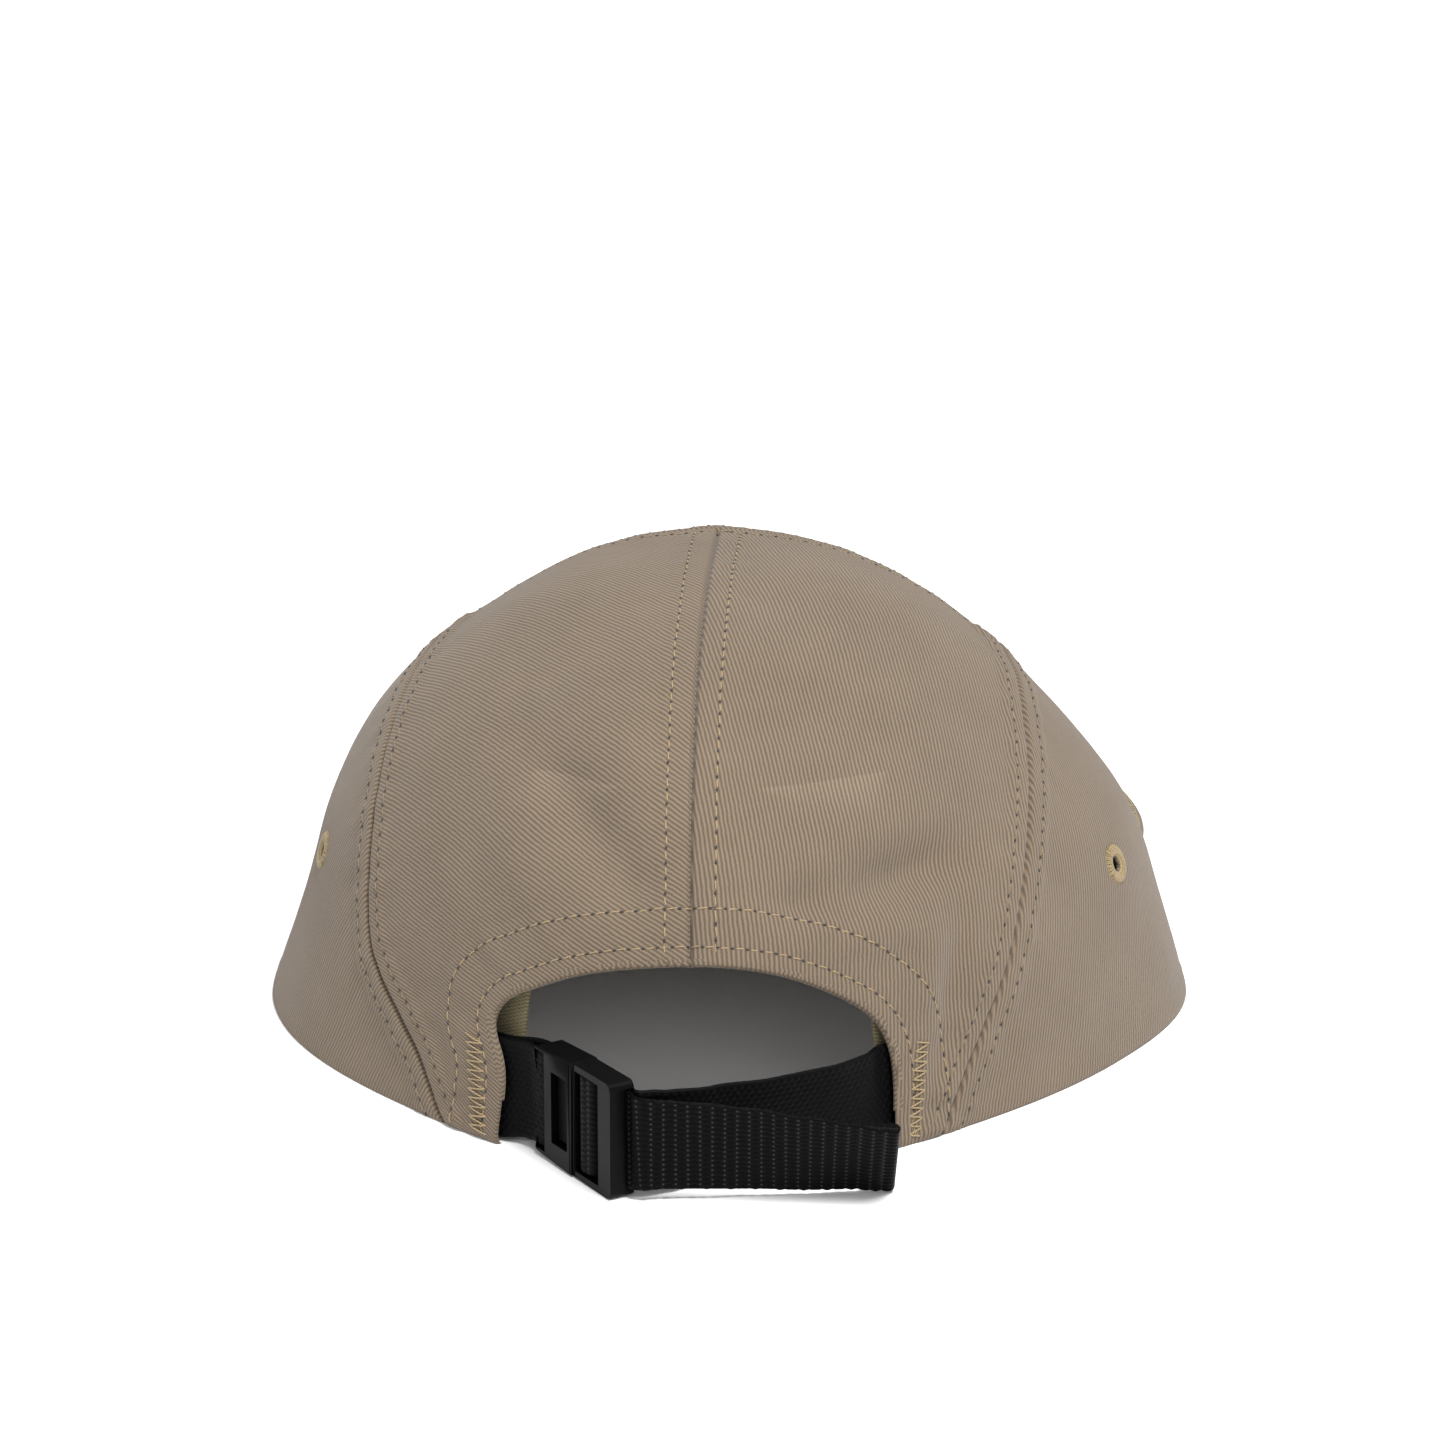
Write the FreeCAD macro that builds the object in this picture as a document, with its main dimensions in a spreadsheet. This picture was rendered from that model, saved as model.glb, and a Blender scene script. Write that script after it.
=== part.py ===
import FreeCAD, Part
import Sketcher
import math
import os

# A five-panel camp cap: crown panels, inside tapes and linings, sweatband, visor, and a rear
# webbing strap with a two-part buckle.  Millimetres and degrees.
# +X is the wearer's right, +Y is forward to the visor, +Z is up.  The origin is the centre of
# the head opening, on the plane of the crown's lower edge.
# A "turn" is an angle round the crown: 0 right, 90 front, 180 left, -90 rear.
# A "level" is a height from 0 at the lower edge to 1 at the crown's top.
# A "share" is a position along a curve, from 0 at its start to 1 at its end.

V = FreeCAD.Vector
doc = FreeCAD.newDocument("camp_cap")

# ---------------------------------------------------------------- driving dimensions
LETTERS = "abcdefghij"
# Crown plan radii from the rear (a) by the side (f) to the front (j), and the bulge factors
# from the lower edge (a) to the top (h).
LETTERED = [
    ("plan_right", [105.872, 99.53, 92.372, 90.819, 93.363, 97.692, 96.227, 94.273, 95.25, 96.5]),
    ("plan_left", [105.872, 101.736, 94.919, 93.463, 95.272, 96.488, 95.041, 93.111, 94.076, 96.5]),
    ("bulge_right", [1, 1.001, 1.005, 1.024, 1.013, 0.997, 0.996, 1]),
    ("bulge_left", [1, 0.989, 0.98, 0.995, 1.01, 1.007, 0.96, 1]),
]
NAMED = [
    # crown
    ("crown_height", 94.424), ("crown_lean_x", -3.422),
    ("side_taper", 0.217), ("side_power_out", 2.515), ("side_power_up", 2.519),
    ("rear_taper", 0.099), ("rear_power_out", 2.005), ("rear_power_up", 2.432),
    ("front_taper", 0.14), ("front_power_out", 3.0), ("front_power_up", 2.8),
    # sewn layers
    ("panel_thick", 0.9), ("seam_gap", 0.3), ("layer_gap", 0.2),
    ("tape_thick", 0.4), ("tape_width", 13.0), ("buckram_thick", 0.7),
    ("band_thick", 1.2), ("band_height", 33.0), ("facing_width", 9.0),
    ("eyelet_radius", 4.1), ("eyelet_hole_radius", 1.7), ("eyelet_thick", 0.9),
    ("web_width", 20.0), ("web_thick", 1.3),
    # visor
    ("visor_gap", 1.4), ("board_thick", 2.0), ("cover_thick", 0.7),
    ("visor_z", 3.4), ("visor_arch", 4.5),
    # where the buckle stands
    ("buckle_x", -29.5), ("buckle_y", -93.8), ("buckle_z", 12.0), ("buckle_angle", -55.0),
    # buckle socket
    ("socket_start", 2.0), ("socket_length", 14.1),
    ("socket_half_start", 10.9), ("socket_half_end", 11.7),
    ("socket_thick", 6.0), ("face_half", "=socket_thick / 2"), ("socket_round", 1.1),
    ("bar_thick", 2.2), ("bar_pocket", "=(socket_thick - bar_thick) / 2"),
    ("bar_open", 1.6), ("bar_span", 2.2),
    ("slot_start", 3.35), ("slot_span", 2.35), ("slot_half", 10.35),
    ("cavity_start", 6.6), ("mouth_length", 12.0), ("cavity_half", 9.3), ("cavity_thick", 3.4),
    ("window_start", 8.4), ("window_length", 6.1), ("window_half", 7.4),
    # buckle plug
    ("frame_start", 16.35), ("frame_length", 14.25),
    ("frame_half_start", 11.7), ("frame_half_end", 11.9),
    ("frame_thick", 5.4), ("frame_back", "=frame_thick / 2"), ("frame_round", 1.4),
    ("opening_start", 17.1), ("opening_length", 8.8), ("opening_half", 10.4),
    ("ladder_start", 18.85), ("ladder_length", 2.9), ("ladder_thick", 2.0),
    ("lip_open", 25.8), ("lip_span", 6.0), ("lip_relief", 2.1),
    ("prong_start", 7.2), ("prong_length", 9.3),
    ("prong_inner", 7.5), ("prong_outer", 9.05), ("prong_thick", 2.8),
    ("root_start", 15.35), ("root_length", 1.2),
    # latch tongue
    ("tongue_start", 7.6), ("tongue_length", 7.4), ("tongue_half", 7.1), ("tongue_thick", 1.5),
    ("nose_chamfer", 0.8),
    # length of a cut that goes right through a buckle part
    ("deep", 20.0),
]

sheet = doc.addObject("Spreadsheet::Sheet", "Dims")
cells = [("%s_%s" % (stem, letter), value)
         for stem, values in LETTERED for letter, value in zip(LETTERS, values)] + NAMED
for row, (alias, value) in enumerate(cells, 1):
    sheet.set("A%d" % row, alias)
    sheet.set("B%d" % row, str(value))
    sheet.setAlias("B%d" % row, alias)
doc.recompute()


def dim(name):
    return float(getattr(sheet, name))


# ---------------------------------------------------------------- small helpers
def clamp(value, low=0.0, high=1.0):
    return min(max(value, low), high)


def smooth(value):
    """Ease from 0 to 1 with level ends."""
    return value * value * (3 - 2 * value)


def unit(vector):
    vector.normalize()
    return vector


def solve(matrix, right):
    """Solve linear equations by elimination with row swaps, changing both arguments."""
    n = len(right)
    for i in range(n):
        pivot = max(range(i, n), key=lambda k: abs(matrix[k][i]))
        matrix[i], matrix[pivot] = matrix[pivot], matrix[i]
        right[i], right[pivot] = right[pivot], right[i]
        for k in range(i + 1, n):
            factor = matrix[k][i] / matrix[i][i]
            if factor:
                for c in range(i, n):
                    matrix[k][c] -= factor * matrix[i][c]
                right[k] -= factor * right[i]
    result = [0.0] * n
    for i in range(n - 1, -1, -1):
        known = sum(matrix[i][c] * result[c] for c in range(i + 1, n))
        result[i] = (right[i] - known) / matrix[i][i]
    return result


def spline(stations, values, flat_ends=False):
    """Cubic spline with zero slope at its ends, or else with not-a-knot ends."""
    n = len(stations)
    steps = [stations[i + 1] - stations[i] for i in range(n - 1)]
    slopes = [(values[i + 1] - values[i]) / steps[i] for i in range(n - 1)]
    matrix = [[0.0] * n for _ in range(n)]
    right = [0.0] * n
    for i in range(1, n - 1):
        matrix[i][i - 1] = steps[i - 1]
        matrix[i][i] = 2 * (steps[i - 1] + steps[i])
        matrix[i][i + 1] = steps[i]
        right[i] = 6 * (slopes[i] - slopes[i - 1])
    if flat_ends:
        matrix[0][:2] = [2 * steps[0], steps[0]]
        right[0] = 6 * slopes[0]
        matrix[-1][-2:] = [steps[-1], 2 * steps[-1]]
        right[-1] = -6 * slopes[-1]
    else:
        matrix[0][:3] = [-1 / steps[0], 1 / steps[0] + 1 / steps[1], -1 / steps[1]]
        matrix[-1][-3:] = [1 / steps[-2], -1 / steps[-1] - 1 / steps[-2], 1 / steps[-1]]
    bends = solve(matrix, right)

    def value_at(x):
        k = 0
        while k < n - 2 and x > stations[k + 1]:
            k += 1
        step = steps[k]
        before = (stations[k + 1] - x) / step
        after = (x - stations[k]) / step
        return (before * values[k] + after * values[k + 1]
                + ((before ** 3 - before) * bends[k]
                   + (after ** 3 - after) * bends[k + 1]) * step * step / 6)

    return value_at


# ---------------------------------------------------------------- the crown's outer surface
PLAN_TURNS = [-90, -72, -54, -36, -18, 0, 20, 45, 70, 90]
BULGE_LEVELS = [0, 0.12, 0.26, 0.42, 0.58, 0.74, 0.88, 1.0]


def lettered_spline(stem, stations, flat_ends):
    values = [dim("%s_%s" % (stem, letter)) for letter in LETTERS[:len(stations)]]
    return spline(stations, values, flat_ends)


plan_right = lettered_spline("plan_right", PLAN_TURNS, True)
plan_left = lettered_spline("plan_left", PLAN_TURNS, True)
bulge_right = lettered_spline("bulge_right", BULGE_LEVELS, False)
bulge_left = lettered_spline("bulge_left", BULGE_LEVELS, False)
CROWN_HEIGHT = dim("crown_height")
CROWN_LEAN = dim("crown_lean_x")
SIDE, REAR, FRONT = [[dim("%s_%s" % (part, word)) for word in ("taper", "power_out", "power_up")]
                     for part in ("side", "rear", "front")]


def profile(level, shape):
    taper, power_out, power_up = shape
    return (1 - taper * level) * max(1 - level ** power_up, 0.0) ** (1 / power_out)


def radius(cosine, sine, level):
    """Distance of the outer surface from its leaning axis, given the turn's cosine and sine."""
    level = clamp(level)
    turn = math.degrees(math.asin(clamp(sine, -1.0, 1.0)))
    weight = sine * sine
    if cosine >= 0:
        plan, bulge = plan_right(turn), bulge_right(level)
    else:
        plan, bulge = plan_left(turn), bulge_left(level)
    end = FRONT if sine > 0 else REAR
    return plan * ((1 - weight) * profile(level, SIDE) * bulge + weight * profile(level, end))


def at(turn, level):
    """Point on the outer surface."""
    angle = math.radians(turn)
    out = radius(math.cos(angle), math.sin(angle), level)
    return V(out * math.cos(angle) + CROWN_LEAN * level, out * math.sin(angle),
             CROWN_HEIGHT * level)


def outside(point):
    """Level distance from the surface, positive outside."""
    level = point.z / CROWN_HEIGHT
    if level >= 1:
        return 1.0
    x = point.x - CROWN_LEAN * max(level, 0.0)
    out = math.hypot(x, point.y)
    if out < 1e-9:
        return -1.0
    return out - radius(x / out, point.y / out, level)


CENTRE = V(0, 0, 18)


def cast(direction, start=CENTRE, far=220.0):
    """Point where a ray from inside the crown meets the surface, found by halving."""
    near = 0.0
    for _ in range(44):
        middle = (near + far) / 2
        if outside(start + direction * middle) > 0:
            far = middle
        else:
            near = middle
    return start + direction * ((near + far) / 2)


def onto(point):
    return cast(unit(point - CENTRE))


def top_at(x, y):
    return cast(V(0, 0, 1), V(x, y, 5.0), 120.0)


def rear_at(x, z):
    return cast(V(0, -1, 0), V(x, 0, z), 130.0)


def normal(point):
    # Near the top the surface is almost level, so the slope is given directly.
    if point.z > CROWN_HEIGHT - 0.02:
        return V(0, 0, 1)
    if point.z > CROWN_HEIGHT * 0.992:
        return unit(V(point.x * 0.004, point.y * 0.004, 1))
    step = 0.04
    return unit(V(*[outside(point + shift) - outside(point - shift)
                    for shift in (V(step, 0, 0), V(0, step, 0), V(0, 0, step))]))


def level_normal(point):
    direction = normal(point)
    return unit(V(direction.x, direction.y, 0))


def inward(point, depth):
    """Point under the surface. At the lower edge the step is level, so the edge stays flat."""
    direction = normal(point)
    return point - unit(V(direction.x, direction.y, direction.z * clamp(point.z / 8.0))) * depth


# ---------------------------------------------------------------- curves
def chord_shares(points):
    lengths = [0.0]
    for i in range(1, len(points)):
        lengths.append(lengths[-1] + (points[i] - points[i - 1]).Length)
    return [length / lengths[-1] for length in lengths]


def through(points, project=True):
    """Smooth curve through points, as a function of share, laid onto the crown if project."""
    shares = chord_shares(points)
    along_x = spline(shares, [p.x for p in points])
    along_y = spline(shares, [p.y for p in points])
    along_z = spline(shares, [p.z for p in points])

    def point_at(share):
        if project and share <= 1e-9:
            return V(points[0])
        if project and share >= 1 - 1e-9:
            return V(points[-1])
        point = V(along_x(share), along_y(share), along_z(share))
        return onto(point) if project else point

    return point_at


def rim(start, end):
    """The crown's lower edge between two turns."""
    return lambda share: at(start + (end - start) * share, 0.0)


def between(start, end):
    return lambda share: onto(start + (end - start) * share)


def shortened(curve, part):
    return lambda share: curve(share * part)


# ---------------------------------------------------------------- solids from point grids
DEGREE = 3


def basis(knots, degree, i, t):
    """Cox-de Boor basis function value."""
    if degree == 0:
        if t >= knots[-1] - 1e-12:
            return 1.0 if knots[i] < knots[i + 1] and knots[i + 1] >= knots[-1] - 1e-12 else 0.0
        return 1.0 if knots[i] <= t < knots[i + 1] else 0.0
    value = 0.0
    width = knots[i + degree] - knots[i]
    if width > 1e-12:
        value += (t - knots[i]) / width * basis(knots, degree - 1, i, t)
    width = knots[i + degree + 1] - knots[i + 1]
    if width > 1e-12:
        value += (knots[i + degree + 1] - t) / width * basis(knots, degree - 1, i + 1, t)
    return value


def poles_for(rows):
    """Poles of the cubic spline through rows of numbers at even parameters, and its knots."""
    last = len(rows) - 1
    count = last + 1
    even = [i / float(last) for i in range(count)]
    inner = [sum(even[j:j + DEGREE]) / DEGREE for j in range(1, last - DEGREE + 1)]
    knots = [0.0] * (DEGREE + 1) + inner + [1.0] * (DEGREE + 1)
    reach = DEGREE + 1
    matrix = [[basis(knots, DEGREE, j, even[i]) if abs(i - j) <= reach else 0.0
               for j in range(count)] for i in range(count)]
    poles = [list(row) for row in rows]
    width = len(poles[0])
    for i in range(count):
        band = range(i + 1, min(i + reach + 1, count))
        for k in band:
            factor = matrix[k][i] / matrix[i][i]
            if factor:
                for c in range(i, min(i + reach + 1, count)):
                    matrix[k][c] -= factor * matrix[i][c]
                for c in range(width):
                    poles[k][c] -= factor * poles[i][c]
    for i in range(last, -1, -1):
        for k in range(i + 1, min(i + reach + 1, count)):
            factor = matrix[i][k]
            if factor:
                for c in range(width):
                    poles[i][c] -= factor * poles[k][c]
        for c in range(width):
            poles[i][c] /= matrix[i][i]
    return poles, knots


def packed(knots):
    """Distinct knots and how often each occurs."""
    values, counts = [], []
    for knot in knots:
        if values and abs(values[-1] - knot) < 1e-12:
            counts[-1] += 1
        else:
            values.append(knot)
            counts.append(1)
    return values, counts


def surface(grid):
    """Cubic surface through a grid of points, with even parameters both ways."""
    rows, u_knots = poles_for([[x for p in column for x in (p.x, p.y, p.z)] for column in grid])
    size_u, size_v = len(grid), len(grid[0])
    turned, v_knots = poles_for([[rows[i][3 * j + c] for i in range(size_u) for c in range(3)]
                                 for j in range(size_v)])
    poles = [[V(*turned[j][3 * i:3 * i + 3]) for j in range(size_v)] for i in range(size_u)]
    u_values, u_counts = packed(u_knots)
    v_values, v_counts = packed(v_knots)
    result = Part.BSplineSurface()
    result.buildFromPolesMultsKnots(poles, u_counts, v_counts, u_values, v_values,
                                    False, False, DEGREE, DEGREE)
    return result


def thick(outer, inner, flat_base=False):
    """Closed solid between two equal-sized grids. flat_base makes the first row's face a plane."""
    first, second = surface(outer), surface(inner)
    u0, u1, v0, v1 = first.bounds()
    faces = [first.toShape(), second.toShape()]
    for one, other in [(first.uIso(u0), second.uIso(u0)), (first.uIso(u1), second.uIso(u1)),
                       (first.vIso(v1), second.vIso(v1))]:
        faces.append(Part.makeRuledSurface(one.toShape(), other.toShape()))
    base_outer, base_inner = first.vIso(v0).toShape(), second.vIso(v0).toShape()
    if flat_base:
        start = Part.makeLine(outer[0][0], inner[0][0])
        end = Part.makeLine(outer[-1][0], inner[-1][0])
        edges = Part.__sortEdges__([base_outer, start, base_inner, end])
        faces.append(Part.Face(Part.Wire(edges)))
    else:
        faces.append(Part.makeRuledSurface(base_outer, base_inner))
    shell = Part.makeShell(faces)
    shell.sewShape(1e-3)
    # sewing can wrap the shell in a compound
    if shell.ShapeType != "Shell":
        shell = shell.Shells[0]
    solid = Part.makeSolid(shell)
    if solid.Volume < 0:
        solid.reverse()
    return solid


def sheet_grid(bottom, top, left, right, columns, rows, across_range, up_range):
    """Points on the outer surface filling part of the region between four curves."""
    def toward(point):
        return unit(point - CENTRE)

    bottom_left, bottom_right = toward(left(0)), toward(right(0))
    top_left, top_right = toward(left(1)), toward(right(1))
    (u0, u1), (v0, v1) = across_range, up_range
    grid = []
    for i in range(columns + 1):
        u = u0 + (u1 - u0) * i / columns
        column = []
        for j in range(rows + 1):
            v = v0 + (v1 - v0) * j / rows
            if v <= 1e-9:
                column.append(bottom(u))
                continue
            sides = (toward(bottom(u)) * (1 - v) + toward(top(u)) * v
                     + toward(left(v)) * (1 - u) + toward(right(v)) * u)
            corners = (bottom_left * ((1 - u) * (1 - v)) + bottom_right * (u * (1 - v))
                       + top_left * ((1 - u) * v) + top_right * (u * v))
            column.append(cast(unit(sides - corners)))
        grid.append(column)
    return grid


def layer(grid, depth):
    return [[inward(p, depth) for p in column] for column in grid]


LINING_DEPTH = dim("panel_thick") + dim("layer_gap")


def lining(grid, thickness):
    """Solid under the panels, on their inside, below a grid on the outer surface."""
    return thick(layer(grid, LINING_DEPTH), layer(grid, LINING_DEPTH + thickness))


kept = []


def feature(label, shape):
    piece = doc.addObject("Part::Feature", label)
    piece.Label = label
    piece.Shape = shape
    kept.append(piece)


# ---------------------------------------------------------------- seams
# turns where the seams meet the lower edge
RIM_REAR_LEFT, RIM_REAR_RIGHT = -122.3, -59.8
RIM_FRONT_LEFT, RIM_FRONT_RIGHT = 136.0, 44.0
# (turn, level) along each seam, from the lower edge to the crown's corner
REAR_SEAM_LEFT = [
    (RIM_REAR_LEFT, 0), (-124.5, .043), (-127.7, .11), (-132.5, .172), (-137.6, .225),
    (-141.6, .275), (-144.6, .34), (-147.6, .427), (-151.5, .517), (-156.2, .602),
    (-162.0, .672), (-169.5, .728), (-182.2, .765), (-195.5, .778)]
REAR_SEAM_RIGHT = [
    (RIM_REAR_RIGHT, 0), (-58.5, .031), (-54.5, .118), (-49.8, .203), (-44.6, .29),
    (-40.2, .376), (-34.2, .476), (-26.3, .57), (-17.5, .65), (-7.8, .715),
    (3.5, .752), (16.0, .77)]
FRONT_SEAM_RIGHT = [
    (RIM_FRONT_RIGHT, 0), (43, .12), (41.5, .25), (38.5, .4), (33, .56), (26, .68), (16.0, .77)]
FRONT_SEAM_LEFT = [
    (RIM_FRONT_LEFT, 0), (137, .12), (138.5, .25), (141.5, .4), (147, .56), (154, .682),
    (164.5, .778)]
# (x, y) along the seam across the top, from the middle to just short of each corner
CROSS_MIDDLE = (-3.3, 28.0)
CROSS_RIGHT = [CROSS_MIDDLE, (12, 27.6), (28, 26.2), (42, 23.7), (52, 21.0)]
CROSS_LEFT = [CROSS_MIDDLE, (-18, 27.6), (-34, 26.2), (-47, 23.6), (-56, 21.0)]
# the centre seam: levels up the rear, then (x, y) over the top
CENTRE_LEVELS = (0, .1, .2, .3, .4, .5, .6, .7, .8, .87)
CENTRE_TOP = [(-3.1, -42), (-3.1, -30), (-3.1, -16), (-3.1, -2), (-3.1, 12), CROSS_MIDDLE]


def seam(stations):
    return through([at(*station) for station in stations])


rear_seam_left, rear_seam_right = seam(REAR_SEAM_LEFT), seam(REAR_SEAM_RIGHT)
front_seam_left, front_seam_right = seam(FRONT_SEAM_LEFT), seam(FRONT_SEAM_RIGHT)
cross_right_points = [top_at(*p) for p in CROSS_RIGHT] + [at(*REAR_SEAM_RIGHT[-1])]
cross_left_points = [top_at(*p) for p in CROSS_LEFT] + [at(*REAR_SEAM_LEFT[-1])]
cross_right, cross_left = through(cross_right_points), through(cross_left_points)
cross_seam = through(cross_left_points[::-1] + cross_right_points[1:])
centre_seam = through([at(-90, level) for level in CENTRE_LEVELS]
                      + [top_at(*p) for p in CENTRE_TOP])
FRONT_SIDES = (rim(RIM_FRONT_LEFT, RIM_FRONT_RIGHT), cross_seam,
               front_seam_left, front_seam_right)

# ---------------------------------------------------------------- the rear arch
# (x, z) round the opening in the rear, from the lower left over the top to the lower right
ARCH = [(-39.3, -3.0), (-39.35, 9.0), (-39.9, 18.0), (-41.4, 22.2), (-40.6, 26.0),
        (-37.6, 29.4), (-33.1, 32.1), (-26.8, 35.2), (-18.6, 37.9), (-10.9, 39.3),
        (-2.3, 40.0), (3.9, 39.9), (11.7, 38.7), (19.3, 36.2), (27.1, 32.1),
        (32.6, 28.0), (35.9, 23.9), (37.6, 19.8), (38.8, 9.6), (39.5, -3.0)]
ARCH_CUT_Y, ARCH_CUT_LENGTH = -62, 60


def arch_cutter():
    points = [V(x, ARCH_CUT_Y, z) for x, z in ARCH]
    curve = Part.BSplineCurve()
    curve.interpolate(points)
    wire = Part.Wire([curve.toShape(), Part.makeLine(points[-1], points[0])])
    return Part.Face(wire).extrude(V(0, -ARCH_CUT_LENGTH, 0))


# ---------------------------------------------------------------- crown panels and eyelets
SIDE_PART = 0.972  # the share of the seams that a side panel follows
EYELETS_RIGHT = [(82.0, -19.6, 36.2), (84.6, 15.5, 35.8)]
EYELETS_LEFT = [(-85.5, -19.0, 36.0), (-84.9, 15.5, 35.6)]
EYELET_LIFT = 0.22
EYELET_ROUND = 0.6  # as a part of the eyelet's thickness
HOLE_CLEARANCE = 0.1
HOLE_DEPTH = 8


def panel(bottom, top, left, right, columns, rows, width, height):
    """Panel drawn back by half the seam gap; width and height are its rough size."""
    half_gap = dim("seam_gap") / 2
    side, upper = half_gap / width, half_gap / height
    grid = sheet_grid(bottom, top, left, right, columns, rows, (side, 1 - side), (0.0, 1 - upper))
    return thick(grid, layer(grid, dim("panel_thick")))


def top_panel(rim_end, cross, rear_seam):
    whole = panel(rim(-90, rim_end), cross, centre_seam, rear_seam, 18, 26, 60.0, 190.0)
    return whole.cut(arch_cutter())


def eyelet(place):
    """A rounded ring on the surface, and the cutter for the hole under it."""
    foot = onto(V(*place))
    out = normal(foot)
    outer, inner = dim("eyelet_radius"), dim("eyelet_hole_radius")
    thickness = dim("eyelet_thick")
    base = foot + out * EYELET_LIFT
    bore = Part.makeCylinder(inner, thickness + 2, base - out, out)
    ring = Part.makeCylinder(outer, thickness, base, out).cut(bore)
    rim_edges = [e for e in ring.Edges
                 if len(e.Vertexes) == 1 and abs(e.Curve.Radius - outer) < 1e-6
                 and (e.CenterOfMass - base).dot(out) > thickness / 2]
    ring = ring.makeFillet(thickness * EYELET_ROUND, rim_edges)
    hole = Part.makeCylinder(inner + HOLE_CLEARANCE, HOLE_DEPTH,
                             foot - out * (HOLE_DEPTH / 2), out)
    return ring, hole


def side_panel(rim_rear, rim_front, rear_seam, front_seam, eyelets):
    rear, front = shortened(rear_seam, SIDE_PART), shortened(front_seam, SIDE_PART)
    shape = panel(rim(rim_rear, rim_front), between(rear(1), front(1)), rear, front,
                  24, 20, 140.0, 120.0)
    for _, hole in eyelets:
        shape = shape.cut(hole)
    return shape


feature("front_panel", panel(*FRONT_SIDES, 26, 24, 130.0, 150.0))
feature("top_panel_right", top_panel(RIM_REAR_RIGHT, cross_right, rear_seam_right))
feature("top_panel_left", top_panel(RIM_REAR_LEFT, cross_left, rear_seam_left))
eyelets_right = [eyelet(place) for place in EYELETS_RIGHT]
eyelets_left = [eyelet(place) for place in EYELETS_LEFT]
feature("side_panel_right", side_panel(RIM_REAR_RIGHT, RIM_FRONT_RIGHT,
                                       rear_seam_right, front_seam_right, eyelets_right))
feature("side_panel_left", side_panel(RIM_REAR_LEFT, RIM_FRONT_LEFT - 360,
                                      rear_seam_left, front_seam_left, eyelets_left))
feature("embroidered_eyelets",
        Part.makeCompound([ring for ring, _ in eyelets_right + eyelets_left]))

# ---------------------------------------------------------------- inside layers
# (label, seam, first share, last share, steps)
TAPES = [
    ("centre_seam_tape", centre_seam, 0.30, 0.945, 30),
    ("rear_seam_tape_right", rear_seam_right, 0.07, 0.93, 26),
    ("rear_seam_tape_left", rear_seam_left, 0.07, 0.93, 26),
    ("front_seam_tape_right", front_seam_right, 0.04, 0.90, 20),
    ("front_seam_tape_left", front_seam_left, 0.04, 0.90, 20),
    ("crown_seam_tape", cross_seam, 0.03, 0.97, 26),
]


def tape(curve, start, end, steps):
    """Tape centred under a seam."""
    quarter = dim("tape_width") / 4
    rows = []
    for i in range(steps + 1):
        share = start + (end - start) * i / steps
        point = curve(share)
        along = unit(curve(min(share + 0.01, 1.0)) - curve(max(share - 0.01, 0.0)))
        across = unit(normal(point).cross(along))
        rows.append([onto(point + across * (quarter * k)) for k in (-2, -1, 0, 1, 2)])
    return lining(rows, dim("tape_thick"))


def arch_facing():
    """Hem facing along the arch, on the inside, above the strap."""
    upper = ARCH[3:]
    shares = [i / 16.0 for i in range(17)]
    along_x = spline(shares, [x for x, z in upper])
    along_z = spline(shares, [z for x, z in upper])
    start, end, steps, delta = 0.04, 0.855, 40, 0.005
    rows = []
    for i in range(steps + 1):
        share = start + (end - start) * i / steps
        x, z = along_x(share), along_z(share)
        run = along_x(share + delta) - along_x(share - delta)
        rise = along_z(share + delta) - along_z(share - delta)
        length = math.hypot(run, rise)
        rows.append([rear_at(x - rise / length * w, z + run / length * w)
                     for w in (0.3, 3.2, 6.1, dim("facing_width"))])
    return lining(rows, dim("tape_thick"))


BAND_RIGHT_END, BAND_LEFT_END = -66.2, 246.6  # turns at the two sides of the arch
BAND_DEPTH = 2.2
BAND_EASE = 16.0  # turn over which the extra depth at an end fades out


def sweatband():
    """One band round the opening, set deeper at its two ends."""
    outer, inner = [], []
    for i in range(73):
        turn = BAND_RIGHT_END + (BAND_LEFT_END - BAND_RIGHT_END) * i / 72
        from_right = smooth(clamp((turn - BAND_RIGHT_END - 5) / BAND_EASE))
        from_left = smooth(clamp((BAND_LEFT_END - turn - 6) / BAND_EASE))
        depth = BAND_DEPTH + 1.1 * (1 - from_right) + 2.8 * (1 - from_left)
        outer_column, inner_column = [], []
        for k in range(6):
            z = dim("band_height") * k / 5.0
            out = level_normal(at(turn, max(z, 0.5) / CROWN_HEIGHT))
            point = at(turn, z / CROWN_HEIGHT) - out * depth
            outer_column.append(point)
            inner_column.append(point - out * dim("band_thick"))
        outer.append(outer_column)
        inner.append(inner_column)
    return thick(outer, inner, True)


for label, curve, start, end, steps in TAPES:
    feature(label, tape(curve, start, end, steps))
feature("front_buckram", lining(sheet_grid(*FRONT_SIDES, 20, 18, (0.09, 0.91), (0.01, 0.87)),
                                dim("buckram_thick")))
feature("arch_facing", arch_facing())
feature("sweatband", sweatband())

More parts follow.
